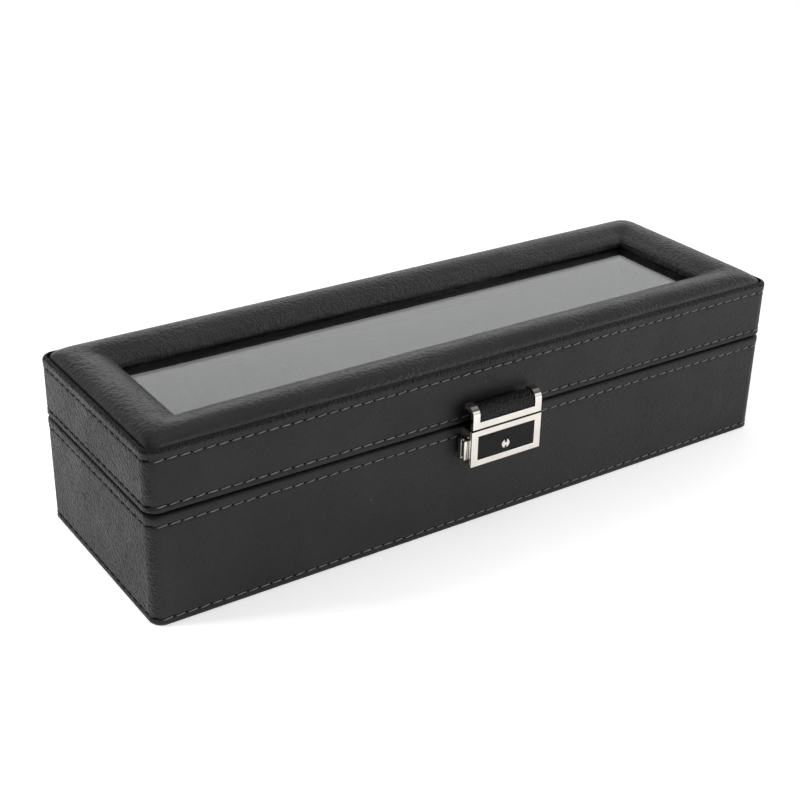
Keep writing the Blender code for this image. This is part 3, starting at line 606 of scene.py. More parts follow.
def velvet_material(name="velvet", painted_lightness=1.0):
    """Short-pile velvet: very dark, with a pale sheen where the pile is seen from the side; a lightness above
    one makes a lighter copy of it, which is painted light.
    """
    made = Shader(name)
    nap = made.between(made.noise(45.0, 3.0, vector=made.warped(30.0, 6.0 * MM)), 0.35, 0.65)
    color = made.shades(nap, bpy.context.scene.watchbox_cushions.color, 0.9 * painted_lightness, 1.3 * painted_lightness)
    normal = made.bump(made.noise(260.0), 0.2 * MM, 0.3)
    normal = made.bump(made.noise(3400.0), 0.15 * MM, 0.7, normal)
    return made.finish(Base_Color=color, Roughness=0.92, Normal=normal, Specular_IOR_Level=0.15,
                       Sheen_Weight=0.3, Sheen_Roughness=0.35, Sheen_Tint=(0.75, 0.75, 0.8, 1.0))


def felt_material():
    """Thin black felt under the box."""
    made = Shader("felt")
    fibres = made.noise(2100.0, 4.0, 0.7, made.warped(800.0, 1.2 * MM))
    color = made.blend(fibres, (0.008, 0.008, 0.008), (0.03, 0.03, 0.03))
    return made.finish(Base_Color=color, Roughness=0.97, Normal=made.bump(fibres, 0.25 * MM, 0.8))


def board_material():
    """Fibreboard stained black, as it shows in a gap."""
    made = Shader("fibreboard")
    fibres = made.noise(900.0, 5.0, 0.65, made.warped(200.0, 3.0 * MM))
    color = made.blend(fibres, (0.007, 0.006, 0.0055), (0.02, 0.017, 0.015))
    return made.finish(Base_Color=color, Roughness=0.85, Normal=made.bump(fibres, 0.1 * MM, 0.5))


def nickel_material(name="nickel", gap_shade_height=None):
    """Polished nickel plate with faint wear, hairline scratches and painted shade: a near-black band at the
    height of a gap.
    """
    settings = bpy.context.scene.watchbox_metal
    made = Shader(name)
    color = made.shades(made.between(made.noise(160.0, 3.0), 0.35, 0.7), settings.color, 0.93, 1.0)
    if gap_shade_height:
        # Painted shade: the metal turns near black within about half a millimetre of the gap's height.
        away = made.math("ABSOLUTE", made.math("SUBTRACT", made.axis(made.place, "Z"), gap_shade_height))
        color = made.blend(made.between(away, 0.34 * MM, 0.6 * MM), (0.02, 0.018, 0.016), color)
    polish = settings.roughness
    roughness = made.between(made.noise(420.0, 3.0), 0.3, 0.75, polish * 0.75, polish * 1.35)
    hairline = made.noise(1.0, vector=made.mapped(Scale=(120.0, 4000.0, 4000.0)))
    normal = made.bump(made.noise(130.0, 1.0), 0.1 * MM, 0.12)
    normal = made.bump(hairline, 0.004 * MM, 0.35, normal)
    return made.finish(Base_Color=color, Metallic=1.0, Roughness=roughness, Normal=normal)


def lock_nickel_material():
    """Nickel with painted shade: a dark line where the gap between the lock's bezel and the hasp lies."""
    gap_shade_height = (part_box("lock_bezel")[1].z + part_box("hasp_frame")[0].z) / 2
    return nickel_material("lock_nickel", gap_shade_height)


def enamel_material():
    """Smooth black enamel of the lock plate."""
    made = Shader("enamel")
    wear = made.noise(300.0, 4.0)
    color = made.blend(wear, (0.004, 0.004, 0.0045), (0.008, 0.008, 0.0085))
    return made.finish(Base_Color=color, Roughness=made.between(wear, 0.3, 0.7, 0.26, 0.4),
                       Normal=made.bump(wear, 0.01 * MM, 0.3), Specular_IOR_Level=0.1)


def glass_material():
    """Clear float glass with the faintest wiping marks along it."""
    made = Shader("window_glass")
    wiped = made.noise(1.0, vector=made.mapped(Rotation=(0.0, 0.0, 0.05), Scale=(2.0, 55.0, 1.0)))
    roughness = made.between(wiped, 0.4, 0.75, 0.0, 0.08)
    return made.finish(Base_Color=(0.93, 0.96, 0.95, 1.0), Roughness=roughness, IOR=1.52,
                       Transmission_Weight=1.0)


FINISHES = {
    "leather": ("black_leather", lambda: leather_material("side_leather", 1.25, wall=True)),
    "lid_leather": ("black_leather", lambda: leather_material("lid_leather", 1.25, wall=True, creased="rim")),
    "pad_leather": ("black_leather", lambda: leather_material(
        "pad_leather", 1.5, depth_share=0.65, gloss_share=2.8, roughness_shift=-0.08, creased="lip")),
    "tab_leather": ("black_leather", lambda: leather_material(
        "tab_leather", 1.3, depth_share=3.0, gloss_share=0.7, roughness_shift=0.06)),
    "thread": ("black_leather", thread_with_painted_highlight_material),
    "end_thread": ("black_leather", painted_shade_thread_material),
    "needle_hole": ("black_leather", painted_hole_shade_material),
    "velvet": ("black_velvet", velvet_material),
    # Painted light: the cushions take the same velvet made twice as light, so that their shape shows under the
    # glass.
    "cushion_velvet": ("black_velvet", lambda: velvet_material("cushion_velvet", 2.0)),
    "felt": ("black_felt", felt_material),
    "board": ("board", board_material),
    "nickel": ("nickel", nickel_material),
    "lock_nickel": ("nickel", lock_nickel_material),
    "enamel": ("lock_plate", enamel_material),
    "glass": ("window_glass", glass_material),
}
MATERIALS = {}


def material(finish):
    """The material of one of the box's finishes, made when it is first asked for."""
    if finish not in MATERIALS:
        MATERIALS[finish] = FINISHES[finish][1]()
    return MATERIALS[finish]


# ---- leather wraps ----
def stitch_outline():
    """The box's outline with a whole number of columns to each stitch."""
    return Outline(bpy.context.scene.watchbox_stitches.pitch / COLUMNS_PER_STITCH)


def wall_heights(low, high, seams):
    """Heights of the rows of a wrap's side, closer together at its seams."""
    fine, coarse, near_seam, least = 0.33 * MM, 1.3 * MM, 1.7 * MM, 0.1 * MM
    heights = [low]
    while heights[-1] < high - least:
        away = min(abs(heights[-1] - seam) for seam in seams)
        step = fine if away < near_seam else coarse
        heights.append(min(heights[-1] + step, high))
    return heights


def wrap_section(low, high, radii, folds, seams):
    """The closed (inset, z) section of a wrap, and how many of its rows lie on its outer face."""
    thick = bpy.context.scene.watchbox_leather.thickness
    low_radius, high_radius = radii
    low_fold, high_fold = folds
    outer = [(low_fold, low), ((low_fold + low_radius) / 2, low)]
    outer += arc((low_radius, low + low_radius), low_radius, 270, 180, 5)
    outer += [(0.0, z) for z in wall_heights(low + low_radius, high - high_radius, seams)[1:-1]]
    outer += arc((high_radius, high - high_radius), high_radius, 180, 90, 5)
    outer += [((high_fold + high_radius) / 2, high), (high_fold, high)]
    inner = [(high_fold, high - thick), (thick, high - thick), (thick, low + thick), (low_fold, low + thick)]
    return np.array(outer + inner), len(outer)


def wrap_mesh(name, section, outer_rows, seams, notches, seed):
    """A wrap with pulled-in seams, needle holes, rolled edges and notches for the hinges."""
    settings = bpy.context.scene.watchbox_leather
    outline = stitch_outline()
    dent, unevenness, fold = 0.5 * MM, 0.05 * MM, 1.5 * MM
    inset, z = swept(section, outline)
    low, high = z.min(), z.max()
    pitch = outline.spacing * COLUMNS_PER_STITCH
    to_hole = (outline.along[None, :] / pitch + 0.5) % 1.0
    to_hole = np.minimum(to_hole, 1.0 - to_hole) * pitch
    push = np.zeros_like(z)
    for seam in seams:
        across = z - seam
        push -= settings.seam_depth * np.exp(-(across / settings.seam_width) ** 2)
        hole = np.exp(-(across ** 2 + to_hole ** 2) / dent ** 2)
        push -= settings.seam_depth * hole
    for start, end in ((seams[1], high), (low, seams[0])):
        share = np.clip((z - start) / (end - start), 0.0, 1.0)
        push += settings.edge_roll * np.sin(math.pi * share) ** 0.7
    height_share = np.clip((z - low) / (high - low), 0.0, 1.0)
    push += unevenness * ripple(outline.along, seed)[None, :] * np.sin(math.pi * height_share)
    outside = (np.arange(len(section)) < outer_rows)[:, None]
    facing = outside * np.clip(1.0 - section[:, :1] / fold, 0.0, 1.0)
    ring = outline.ring(inset - push * facing)
    for low_x, high_x, start, old_end, new_end in notches:
        column = (outline.normal[:, 1] > 0.9)[None, :] & (ring[..., 0] > low_x) & (ring[..., 0] < high_x)
        beyond = (z - start) / (old_end - start)
        moved = start + np.clip(beyond, 0.0, 1.0) * (new_end - start)
        z = np.where(column & (beyond > 0) & outside, moved, z)
    return grid_mesh(name, ring, z)


def leather_wrap(body, node, finish, radii, folds, seams, notches, seed):
    """Wrap the side of the base or the lid in leather, with room for the hinges."""
    low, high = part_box(node)
    section, outer_rows = wrap_section(low.z, high.z, radii, folds, seams)
    mesh = wrap_mesh(body + "_wrap", section, outer_rows, seams, notches, seed)
    finish_piece(new_object(body + "_wrap", mesh, finish), body, finish, node)


def hinge_notches(body, start, edge, plate):
    """Where each hinge leaf needs room: its ends, where the notch starts, and the old and the new edge."""
    notches = []
    for side in ("left", "right"):
        low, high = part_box("hinge_%s_leaf_%s" % (body, side))
        notches.append((low.x - LEAF_CLEARANCE, high.x + LEAF_CLEARANCE, start, edge, plate))
    return notches


def base_seams():
    """Heights of the two rows of stitches round the base."""
    settings = bpy.context.scene.watchbox_stitches
    return BASE_LOW.z + settings.base_low, BASE_HIGH.z - settings.base_high


def lid_seams():
    """Heights of the two rows of stitches round the lid."""
    settings = bpy.context.scene.watchbox_stitches
    return LID_LOW.z + settings.lid_low, LID_HIGH.z - settings.lid_high


class WATCHBOX_OT_base_leather(bpy.types.Operator):
    """Wrap the base in leather and lay the felt sheet under it"""

    bl_idname = "watchbox.base_leather"
    bl_label = "Base Leather"

    def execute(self, context):
        seams = base_seams()
        notches = hinge_notches("base", seams[1] + 1.5 * MM, BASE_HIGH.z, BASE_HIGH.z - LEAF_THICKNESS)
        leather_wrap("base", "base_cover", "leather", radii=(1.2 * MM, 1.3 * MM),
                     folds=(9.0 * MM, 5.7 * MM), seams=seams, notches=notches, seed=11)
        refined("underside_felt", "bottom_cover", "felt", 0.15 * MM, 2)
        dress("base_carcass", "board")
        return {"FINISHED"}


class WATCHBOX_OT_lid_leather(bpy.types.Operator):
    """Wrap the side of the lid in leather, with a rolled rim round the pad"""

    bl_idname = "watchbox.lid_leather"
    bl_label = "Lid Leather"

    def execute(self, context):
        seams = lid_seams()
        notches = hinge_notches("lid", seams[0] - 0.6 * MM, LID_LOW.z, LID_LOW.z + LEAF_THICKNESS)
        leather_wrap("lid", "lid_cover", "lid_leather", radii=(0.9 * MM, 1.5 * MM),
                     folds=(5.4 * MM, 1.6 * MM), seams=seams, notches=notches, seed=12)
        dress("lid_carcass", "board")
        return {"FINISHED"}


# ---- padded window frame ----
def pad_section():
    """The (inset, z) section of the pad, and the number of its first row on the glass."""
    settings = bpy.context.scene.watchbox_pad
    bottom = GLASS_HIGH.z + 1.8 * MM
    seat = GLASS_HIGH.z + 0.3 * MM
    shoulder = LID_HIGH.z - 2.1 * MM
    crest = PAD_HIGH.z - 0.3 * MM
    lip = crest - settings.lip_drop
    lip_radius = 0.7 * MM
    rise = settings.crest_inset - PAD_INSET
    fall = WINDOW_INSET - settings.crest_inset
    rows = [(PAD_INSET + 0.2 * MM, bottom), (PAD_INSET, (bottom + shoulder) / 2), (PAD_INSET, shoulder)]
    for angle in np.radians(np.linspace(0, 90, 10)[1:]):
        height = (crest - shoulder) * math.sin(angle)
        rows.append((PAD_INSET + rise * (1 - math.cos(angle)), shoulder + height))
    for share in np.linspace(0, 1, 10)[1:-1]:
        sunk = settings.lip_drop * (1 - math.cos(math.pi / 2 * share))
        rows.append((settings.crest_inset + fall * share, crest - sunk))
    rows += arc((WINDOW_INSET - lip_radius, lip - lip_radius), lip_radius, 70, 0, 3)
    rows += [(WINDOW_INSET, (lip + seat) / 2), (WINDOW_INSET, seat)]
    first_on_glass = len(rows) - 2
    edge = GLASS_INSET + 0.4 * MM
    rows += [(edge, seat), (edge, bottom), ((PAD_INSET + GLASS_INSET) / 2, bottom)]
    return np.array(rows), first_on_glass


class WATCHBOX_OT_window_pad(bpy.types.Operator):
    """Pad the frame round the window and cover it in leather"""

    bl_idname = "watchbox.window_pad"
    bl_label = "Window Pad"

    def execute(self, context):
        settings = context.scene.watchbox_pad
        outline = Outline(3.0 * MM)
        section, first_on_glass = pad_section()
        inset, z = swept(section, outline)
        ring = outline.ring(inset, self.corner_radius(inset, settings))
        pad = new_object("window_pad", grid_mesh("window_pad", ring, z), "pad_leather")
        row = np.repeat(np.arange(len(section)), outline.count)
        inflate(pad, (row < 2) | (row >= first_on_glass), settings.pressure, settings.reach)
        smoothed(pad, 2)
        self.pucker(pad.data, settings.pucker)
        pad.data.shade_smooth()
        finish_piece(pad, "lid", "pad_leather", "pad_frame")
        return {"FINISHED"}

    def corner_radius(self, inset, settings):
        """Corner radius of each row: widest at the crest, and nearly sharp at the window."""
        rising = np.clip((inset - PAD_INSET) / (settings.crest_inset - PAD_INSET), 0.0, 1.0)
        falling = np.clip((WINDOW_INSET - inset) / (WINDOW_INSET - settings.crest_inset), 0.0, 1.0)
        edge = CORNER - PAD_INSET
        up = edge + (settings.crest_corner - edge) * rising
        down = SHARPEST_CORNER + (settings.crest_corner - SHARPEST_CORNER) * falling ** 1.5
        return np.where(inset < settings.crest_inset, up, down)

    def pucker(self, mesh, height):
        """Small folds where the leather is drawn in at the window, and a map of where it is drawn in."""
        points = positions(mesh)
        out_x = np.abs(points[:, 0]) - (GLASS_HIGH.x - LIP_OVERLAP)
        out_y = np.abs(points[:, 1]) - (GLASS_HIGH.y - LIP_OVERLAP)
        distance = np.maximum(np.maximum(out_x, out_y), 0.0)
        on_top = points[:, 2] > GLASS_HIGH.z + 2.0 * MM
        chance = np.random.default_rng(5)
        fold = np.zeros(len(points))
        run = np.where(out_x > out_y, points[:, 1], points[:, 0])
        for _ in range(14):
            length = chance.uniform(1.8, 5.0) * MM
            fold += chance.normal() * np.sin(2 * math.pi * run / length + chance.uniform(0, 6.28)
                                             + distance / (3.0 * MM))
        strength = 0.6 + 0.4 * np.sin(run / (23 * MM)) * np.sin(run / (9 * MM) + 1.0)
        fade = np.exp(-distance / (2.6 * MM))
        points[:, 2] += on_top * fade * strength * fold * height / 4
        place_vertices(mesh, points)
        drawn = mesh.attributes.new("drawn_in", "FLOAT", "POINT")
        drawn.data.foreach_set("value", np.exp(-(distance / (4.0 * MM)) ** 2))


# ---- patterns made by Geometry Nodes ----
class Pattern(NodeWriter):
    """A Geometry Nodes tree that lays copies of one shape along its input."""

    def __init__(self, name, **inputs):
        super().__init__(bpy.data.node_groups.new(name, "GeometryNodeTree"))
        for label, kind in (("Geometry", "Geometry"), *inputs.items(), ("Material", "Material")):
            self.tree.interface.new_socket(label, in_out="INPUT", socket_type="NodeSocket" + kind)
        self.tree.interface.new_socket("Geometry", in_out="OUTPUT", socket_type="NodeSocketGeometry")
        self.given = self.tree.nodes.new("NodeGroupInput").outputs

    def vector(self, x=0.0, y=0.0, z=0.0):
        """A vector from its parts."""
        return self.node("ShaderNodeCombineXYZ", {0: x, 1: y, 2: z})

    def random(self, low, high, seed):
        """A random vector for each copy."""
        return self.node("FunctionNodeRandomValue", {"Min": low, "Max": high, "Seed": seed},
                         data_type="FLOAT_VECTOR")

    def rotation(self, euler):
        """A rotation from three angles."""
        return self.node("FunctionNodeEulerToRotation", {"Euler": euler})

    def moved(self, shape, **inputs):
        """A shape moved or scaled."""
        return self.node("GeometryNodeTransform", {"Geometry": shape, **inputs})

    def lay(self, points, shape, rotation, scale=(1.0, 1.0, 1.0), smooth=False):
        """Lay the copies, make them real, give them their material, and end the tree."""
        copies = self.node("GeometryNodeInstanceOnPoints", {"Points": points, "Instance": shape,
                                                            "Rotation": rotation, "Scale": scale})
        real = self.node("GeometryNodeRealizeInstances", {"Geometry": copies})
        if smooth:
            real = self.node("GeometryNodeSetShadeSmooth", {"Geometry": real})
        inputs = {"Geometry": real, "Material": self.given["Material"]}
        colored = self.node("GeometryNodeSetMaterial", inputs)
        self.connect(self.tree.nodes.new("NodeGroupOutput").inputs["Geometry"], colored)
        return self.tree


def run_tree(name, data, tree, finish, **values):
    """Run a tree on a curve or a mesh of points, and keep the result as a plain mesh object."""
    values["Material"] = material(finish)
    source = bpy.data.objects.new(name + "_source", data)
    bpy.context.scene.collection.objects.link(source)
    modifier = source.modifiers.new("pattern", "NODES")
    modifier.node_group = tree
    for item in tree.interface.items_tree:
        if item.in_out == "INPUT" and item.name in values:
            modifier[item.identifier] = values[item.name]
    graph = bpy.context.evaluated_depsgraph_get()
    mesh = bpy.data.meshes.new_from_object(source.evaluated_get(graph), depsgraph=graph)
    bpy.data.objects.remove(source)
    mesh.polygons.foreach_set("material_index", np.zeros(len(mesh.polygons), np.int32))
    return new_object(name, mesh, finish)


# ---- stitches ----
def stitch_tree():
    """Slanting beads of one size along a curve: threads, or near-black beads of painted shade in the needle
    holes between them.
    """
    pattern = Pattern("stitch_row", Count="Int", Length="Float", Height="Float", Depth="Float", Slant="Float",
                      Seed="Int")
    given = pattern.given
    spots = pattern.node("GeometryNodeCurveToPoints", {"Curve": given["Geometry"], "Count": given["Count"]},
                         mode="COUNT")
    ball = pattern.node("GeometryNodeMeshUVSphere", {"Segments": 8, "Rings": 8, "Radius": 0.5})
    bead = pattern.moved(ball, Scale=pattern.vector(given["Depth"], given["Height"], given["Length"]))
    slack = pattern.random((-0.04, -0.03, -0.2), (0.04, 0.03, 0.2), given["Seed"])
    slant = pattern.vector(given["Slant"])
    tilt = pattern.node("ShaderNodeVectorMath", {0: slack, 1: slant}, operation="ADD")
    aligned = pattern.node("FunctionNodeRotateRotation", {"Rotation": spots.node.outputs["Rotation"],
                                                          "Rotate By": pattern.rotation(tilt)},
                           rotation_space="LOCAL")
    stretch = pattern.random((0.9, 0.9, 0.93), (1.1, 1.1, 1.03), given["Seed"])
    return pattern.lay(spots, bead, aligned, stretch, smooth=True)


def seam_path(name, heights, sink, shift):
    """A curve with one closed line for each row of stitches, just inside the leather's face.

    The line starts a number of columns along the outline, so that a thread lies between two holes.
    """
    outline = stitch_outline()
    outline.skeleton = np.roll(outline.skeleton, -shift, axis=0)
    outline.normal = np.roll(outline.normal, -shift, axis=0)
    curve = bpy.data.curves.new(name, "CURVE")
    curve.dimensions = "3D"
    curve.twist_mode = "Z_UP"
    points = np.ones((outline.count, 4))
    points[:, :2] = outline.ring(np.full(outline.count, sink))
    for height in heights:
        points[:, 2] = height
        spline = curve.splines.new("POLY")
        spline.points.add(outline.count - 1)
        spline.points.foreach_set("co", points.reshape(-1))
        spline.use_cyclic_u = True
    return curve


class WATCHBOX_OT_stitches(bpy.types.Operator):
    """Sew two rows of stitches round the base and two round the lid"""

    bl_idname = "watchbox.stitches"
    bl_label = "Stitches"

    def execute(self, context):
        settings = context.scene.watchbox_stitches
        tree = stitch_tree()
        depth = context.scene.watchbox_leather.seam_depth
        count = round(stitch_outline().count / COLUMNS_PER_STITCH)
        for body, heights in (("base", base_seams()), ("lid", lid_seams())):
            path = seam_path(body + "_thread_path", heights, depth - settings.thread * SUNK_SHARE_OF_THREAD, 0)
            threads = run_tree(body + "_stitches", path, tree, "thread", Count=count, Seed=4,
                               Length=settings.pitch - settings.gap, Height=settings.thread,
                               Depth=settings.thread, Slant=settings.slant)
            self.paint_shade_on_end_threads(threads.data)
            finish_piece(threads, body, "thread")
            # Painted shade: near-black beads sit in the needle holes between the threads.
            path = seam_path(body + "_hole_path", heights, depth, COLUMNS_PER_STITCH // 2)
            holes = run_tree(body + "_needle_holes", path, tree, "needle_hole", Count=count, Seed=4,
                             Length=settings.gap, Height=settings.hole, Depth=0.2 * MM, Slant=0.0)
            finish_piece(holes, body, "needle_hole")
        return {"FINISHED"}

    def paint_shade_on_end_threads(self, mesh):
        """Give the stitches round the two ends a near-black copy of the thread, as painted shade."""
        mesh.materials.append(material("end_thread"))
        centers = np.empty(len(mesh.polygons) * 3)
        mesh.polygons.foreach_get("center", centers)
        # Painted shade: threads near either end take the near-black copy of the thread.
        at_end = np.abs(centers[::3]) > HALF_X - 2.5 * MM
        mesh.polygons.foreach_set("material_index", at_end.astype(np.int32))


# ---- glass, boards and cushions ----
class WATCHBOX_OT_window_glass(bpy.types.Operator):
    """Set the glass and its velvet retainer in the lid"""

    bl_idname = "watchbox.window_glass"
    bl_label = "Window Glass"

    def execute(self, context):
        refined("glass_sheet", "glass_pane", "glass", 0.2 * MM, 2)
        refined("glass_frame", "glass_retainer", "velvet", 0.35 * MM)
        return {"FINISHED"}


class WATCHBOX_OT_velvet_boards(bpy.types.Operator):
    """Line the box with velvet boards and divide it"""

    bl_idname = "watchbox.velvet_boards"
    bl_label = "Velvet Boards"

    def execute(self, context):
        for name in sorted(frame["nodes"]):
            if name.startswith(("neck_", "divider_", "lid_lining_", "floor_lining")):
                refined("velvet_" + name, name, "velvet", 0.55 * MM, 4)
        return {"FINISHED"}


class WATCHBOX_OT_cushions(bpy.types.Operator):
    """Fill one watch cushion and set a slightly different copy of it in each compartment"""

    bl_idname = "watchbox.cushions"
    bl_label = "Watch Cushions"

    def execute(self, context):
        names = [name for name in sorted(frame["nodes"]) if name.startswith("cushion_")]
        low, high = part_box(names[0])
        model = self.filled(context.scene.watchbox_cushions, high - low)
        unevenness = 0.12 * MM
        for index, name in enumerate(names):
            low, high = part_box(name)
            mesh = model.copy()
            points = positions(mesh)
            chance = np.random.default_rng(30 + index)
            wobble = chance.normal(size=(3, 3)) * unevenness
            for axis in range(3):
                points[:, axis] += wobble[axis] @ np.sin(points.T * chance.uniform(60, 160, (3, 1)) + index)
            place_vertices(mesh, points + np.array((low + high) / 2))
            pillow = new_object("watch_pillow_%d" % (index + 1), mesh, "cushion_velvet")
            finish_piece(pillow, "base", "cushion_velvet", name)
        bpy.data.meshes.remove(model)
        return {"FINISHED"}

    def filled(self, settings, size):
        """The mesh of a cushion round the origin: rounded over the top, with a seam near each end."""
        limit = np.array(size) / 2
        form = new_object("cushion_form", self.rounded_block(limit - settings.shrink), "cushion_velvet")
        remesh = form.modifiers.new("even", "REMESH")
        remesh.mode = "VOXEL"
        remesh.voxel_size = settings.voxel
        settle(form)
        inflate(form, np.zeros(len(form.data.vertices), bool), settings.pressure, settings.reach)
        smoothed(form, 1)
        points = np.clip(positions(form.data), -limit, limit)
        from_seam = (np.abs(points[:, 0]) - (limit[0] - settings.seam_inset)) / settings.seam_width
        points[:, 1:] *= (1.0 - settings.seam_pull * np.exp(-from_seam ** 2))[:, None]
        points[:, 2] = np.maximum(points[:, 2], settings.flattened - limit[2])
        place_vertices(form.data, points)
        form.data.shade_smooth()
        mesh = form.data.copy()
        bpy.data.objects.remove(form)
        return mesh

    def rounded_block(self, half):
        """A finely divided block with a rounded square section."""
        work = bmesh.new()
        bmesh.ops.create_cube(work, size=2.0)
        bmesh.ops.subdivide_edges(work, edges=work.edges[:], cuts=11, use_grid_fill=True)
        mesh = bpy.data.meshes.new("cushion_form")
        work.to_mesh(mesh)
        work.free()
        squareness = 3.4
        points = positions(mesh)
        across = np.abs(points[:, 1:])
        section = (across ** squareness).sum(axis=1) ** (1 / squareness)
        points[:, 1:] *= (np.maximum(across.max(axis=1), 1e-6) / np.maximum(section, 1e-6))[:, None]
        place_vertices(mesh, points * half)
        return mesh


# ---- hinges ----
def screw_tree():
    """A slotted countersunk screw head at each point of a mesh."""
    pattern = Pattern("screw_heads", Radius="Float", Height="Float", Slot="Float")
    radius, height = pattern.given["Radius"], pattern.given["Height"]
    head = pattern.node("GeometryNodeMeshCylinder", {"Vertices": 24, "Radius": radius, "Depth": height})
    slot_size = pattern.vector(pattern.math("MULTIPLY", radius, 3.0), pattern.given["Slot"], height)
    block = pattern.node("GeometryNodeMeshCube", {"Size": slot_size})
    raised = pattern.moved(block, Translation=pattern.vector(z=pattern.math("MULTIPLY", height, 0.5)))
    cut = pattern.node("GeometryNodeMeshBoolean", {"Mesh 1": head, "Mesh 2": raised}, operation="DIFFERENCE")
    turn = pattern.rotation(pattern.random((0.0, 0.0, 0.0), (0.0, 0.0, 3.1), 3))
    return pattern.lay(pattern.given["Geometry"], cut, turn)


class WATCHBOX_OT_hinges(bpy.types.Operator):
    """Finish the two hinges and screw their leaves down"""

    bl_idname = "watchbox.hinges"
    bl_label = "Hinges"

    def execute(self, context):
        edge = context.scene.watchbox_metal.edge * 0.5
        for name in sorted(frame["nodes"]):
            if name.startswith("hinge_"):
                refined("fine_" + name, name, "nickel", edge, 2)
        tree = screw_tree()
        for body in ("base", "lid"):
            spots = bpy.data.meshes.new(body + "_screw_places")
            spots.from_pydata(self.screw_places(body), [], [])
            screws = run_tree(body + "_hinge_screws", spots, tree, "nickel", Radius=1.05 * MM,
                              Height=0.24 * MM, Slot=0.3 * MM)
            finish_piece(screws, body, "nickel")
        return {"FINISHED"}

    def screw_places(self, body):
        """Three places on the face of each leaf that shows when the lid is open."""
        places = []
        for side in ("left", "right"):
            leaf = "hinge_%s_leaf_%s" % (body, side)
            low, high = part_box(leaf)
            points = positions(frame["nodes"][leaf].data)
            plate = points[points[:, 1] < points[:, 1].min() + 0.5 * MM, 2]
            face = plate.max() if body == "base" else plate.min()
            for share in (0.2, 0.5, 0.8):
                places.append((low.x + (high.x - low.x) * share, low.y + SCREW_LINE, face))
        return places


# ---- lock and hasp ----
class WATCHBOX_OT_lock(bpy.types.Operator):
    """Finish the lock on the base with its button and key barrel"""

    bl_idname = "watchbox.lock"
    bl_label = "Lock"

    def execute(self, context):
        edge = context.scene.watchbox_metal.edge
        refined("bezel", "lock_bezel", "lock_nickel", edge)
        refined("lock_body", "lock_case", "nickel", edge * 0.7)
        refined("enamel_plate", "lock_inlay", "enamel", edge * 0.5)
        refined("key_plug", "key_barrel", "nickel", edge * 0.6)
        refined("key_cam", "lock_cam", "nickel", edge * 0.6)
        refined("push_button", "release_button", "nickel", edge * 0.8)
        refined("finger_slide", "latch_slider", "nickel", edge * 0.6)
        refined("lock_foot", "lock_backplate", "nickel", edge * 0.5)
        dress("return_spring", "nickel")
        return {"FINISHED"}


class WATCHBOX_OT_hasp(bpy.types.Operator):
    """Finish the hasp on the lid with its leather inlay"""

    bl_idname = "watchbox.hasp"
    bl_label = "Hasp"

    def execute(self, context):
        edge = context.scene.watchbox_metal.edge
        refined("hasp_plate", "hasp_frame", "lock_nickel", edge * 0.9, angle=24.0)
        refined("hasp_tab", "hasp_inlay", "tab_leather", edge, angle=24.0)
        refined("hasp_catch", "catch_lug", "nickel", edge * 0.6)
        refined("hasp_hinge_leaf", "hasp_leaf", "nickel", edge * 0.4, 2)
        refined("hasp_hinge_pin", "hasp_pin", "nickel", edge * 0.3, 2)
        return {"FINISHED"}


# ---- stage ----
def floor_material(glow):
    """Plain pale floor, lit a little from below."""
    made = Shader("pale_floor")
    color = made.blend(made.noise(3.0), (0.9, 0.9, 0.9), (0.92, 0.92, 0.92))
    return made.finish(Base_Color=color, Roughness=0.7, Specular_IOR_Level=0.1,
                       Emission_Color=(1.0, 1.0, 1.0, 1.0), Emission_Strength=glow)


def area_light(name, power, place, aim, size):
    """A soft rectangular light that looks at a point and isn't seen in a reflection."""
    light = bpy.data.lights.new(name, "AREA")
    light.shape = "RECTANGLE"
    light.size, light.size_y = size
    light.energy = power
    obj = bpy.data.objects.new(name, light)
    bpy.context.scene.collection.objects.link(obj)
    obj.location = place
    obj.rotation_euler = (Vector(aim) - Vector(place)).to_track_quat("-Z", "Y").to_euler()
    obj.visible_glossy = False


def studio_world(settings):
    """White walls that darken towards the left, and a darker ceiling."""
    world = bpy.data.worlds.new("studio")
    world.use_nodes = True
    sky = NodeWriter(world.node_tree)
    direction = sky.node("ShaderNodeTexCoord", output="Generated")
    curve = sky.node("ShaderNodeFloatCurve", {"Value": sky.axis(direction, "Z")})
    mapping = curve.node.mapping
    points = mapping.curves[0].points
    points[0].location = (0.0, settings.horizon / BRIGHTEST)
    points[1].location = (1.0, settings.zenith / BRIGHTEST)
    for height, strength in ((0.3, settings.horizon), (0.45, settings.walls), (0.62, settings.ceiling),
                             (0.75, settings.ceiling)):
        points.new(height, strength / BRIGHTEST)
    mapping.update()
    side = sky.between(sky.axis(direction, "X"), -0.35, 0.3, settings.left_wall, 1.0)
    bright = sky.math("MULTIPLY", curve, BRIGHTEST)
    background = sky.tree.nodes["Background"]
    sky.connect(background.inputs["Strength"], sky.math("MULTIPLY", bright, side))
    background.inputs["Color"].default_value = (1.0, 1.0, 1.0, 1.0)
    return world


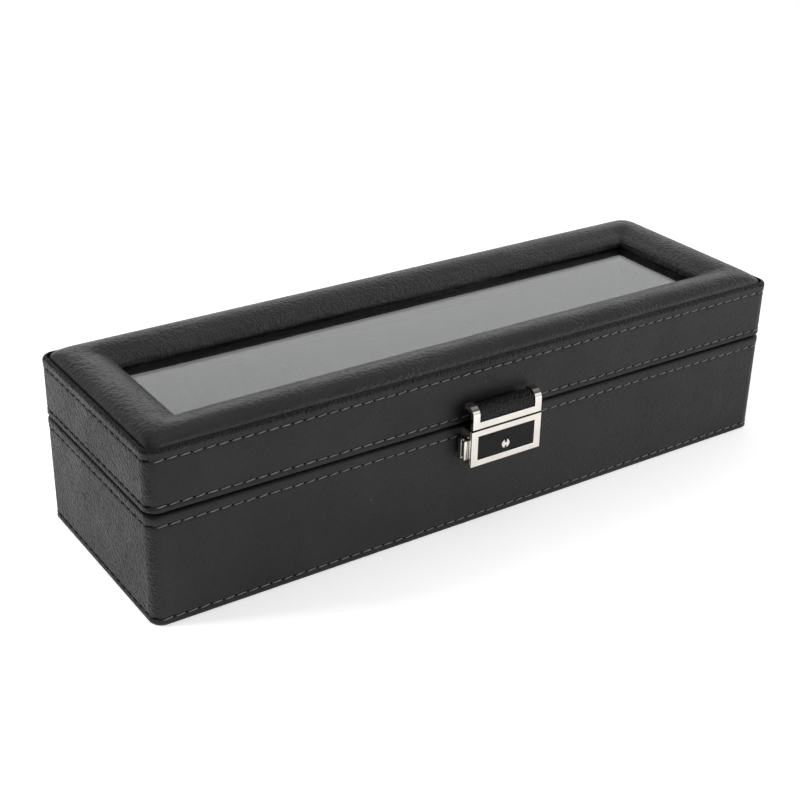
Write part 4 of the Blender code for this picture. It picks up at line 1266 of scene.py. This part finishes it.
class WATCHBOX_OT_stage(bpy.types.Operator):
    """Set up the camera, the floor and the lights"""

    bl_idname = "watchbox.stage"
    bl_label = "Stage"

    def execute(self, context):
        settings = context.scene.watchbox_stage
        camera = bpy.data.objects.new("camera", bpy.data.cameras.new("camera"))
        context.scene.collection.objects.link(camera)
        camera.location = settings.camera_place
        camera.rotation_euler = [math.radians(angle) for angle in settings.camera_turn]
        camera.data.lens = settings.lens
        camera.data.clip_start = 10 * MM
        context.scene.camera = camera
        context.scene.view_settings.view_transform = "Standard"
        just_under = (0.0, 0.0, -0.05 * MM)
        bpy.ops.mesh.primitive_plane_add(size=settings.floor, location=just_under)
        floor = context.object
        floor.name = "floor"
        floor.data.materials.append(floor_material(settings.glow))
        context.scene.world = studio_world(settings)
        area_light("front_light", settings.front, place=(0.8, -1.25, 0.52), aim=(0.0, 0.0, 0.04),
                   size=(0.4, 0.32))
        area_light("overhead_light", settings.overhead, place=(-0.2, 0.5, 2.8), aim=(0.0, 0.3, 0.0),
                   size=(2.6, 2.6))
        area_light("left_light", settings.left, place=(-1.0, 0.5, 0.7), aim=(-0.2, 0.1, 0.0),
                   size=(0.5, 0.5))
        return {"FINISHED"}


# ---- add-on ----
OPERATORS = (
    WATCHBOX_OT_stage,
    WATCHBOX_OT_base_leather,
    WATCHBOX_OT_lid_leather,
    WATCHBOX_OT_window_pad,
    WATCHBOX_OT_stitches,
    WATCHBOX_OT_window_glass,
    WATCHBOX_OT_velvet_boards,
    WATCHBOX_OT_cushions,
    WATCHBOX_OT_hinges,
    WATCHBOX_OT_lock,
    WATCHBOX_OT_hasp,
)


class WATCHBOX_PT_panel(bpy.types.Panel):
    """The watch box's pieces and settings"""

    bl_idname = "WATCHBOX_PT_panel"
    bl_label = "Watch Box"
    bl_space_type = "VIEW_3D"
    bl_region_type = "UI"
    bl_category = "Watch Box"

    def draw(self, context):
        layout = self.layout
        for operator in OPERATORS:
            layout.operator(operator.bl_idname)
        for name, group in SETTINGS:
            column = layout.column(align=True)
            column.label(text=group.__doc__)
            for key in group.__annotations__:
                column.prop(getattr(context.scene, name), key)


def register():
    """Register the settings, the operators and the panel."""
    for name, group in SETTINGS:
        bpy.utils.register_class(group)
        setattr(bpy.types.Scene, name, PointerProperty(type=group))
    for operator in OPERATORS:
        bpy.utils.register_class(operator)
    bpy.utils.register_class(WATCHBOX_PT_panel)


def unregister():
    """Undo register."""
    bpy.utils.unregister_class(WATCHBOX_PT_panel)
    for operator in reversed(OPERATORS):
        bpy.utils.unregister_class(operator)
    for name, group in reversed(SETTINGS):
        delattr(bpy.types.Scene, name)
        bpy.utils.unregister_class(group)


def main():
    """Build every piece in order."""
    register()
    bpy.ops.watchbox.stage()
    bpy.ops.watchbox.base_leather()
    bpy.ops.watchbox.lid_leather()
    bpy.ops.watchbox.window_pad()
    bpy.ops.watchbox.stitches()
    bpy.ops.watchbox.window_glass()
    bpy.ops.watchbox.velvet_boards()
    bpy.ops.watchbox.cushions()
    bpy.ops.watchbox.hinges()
    bpy.ops.watchbox.lock()
    bpy.ops.watchbox.hasp()


if __name__ == "__main__":
    main()
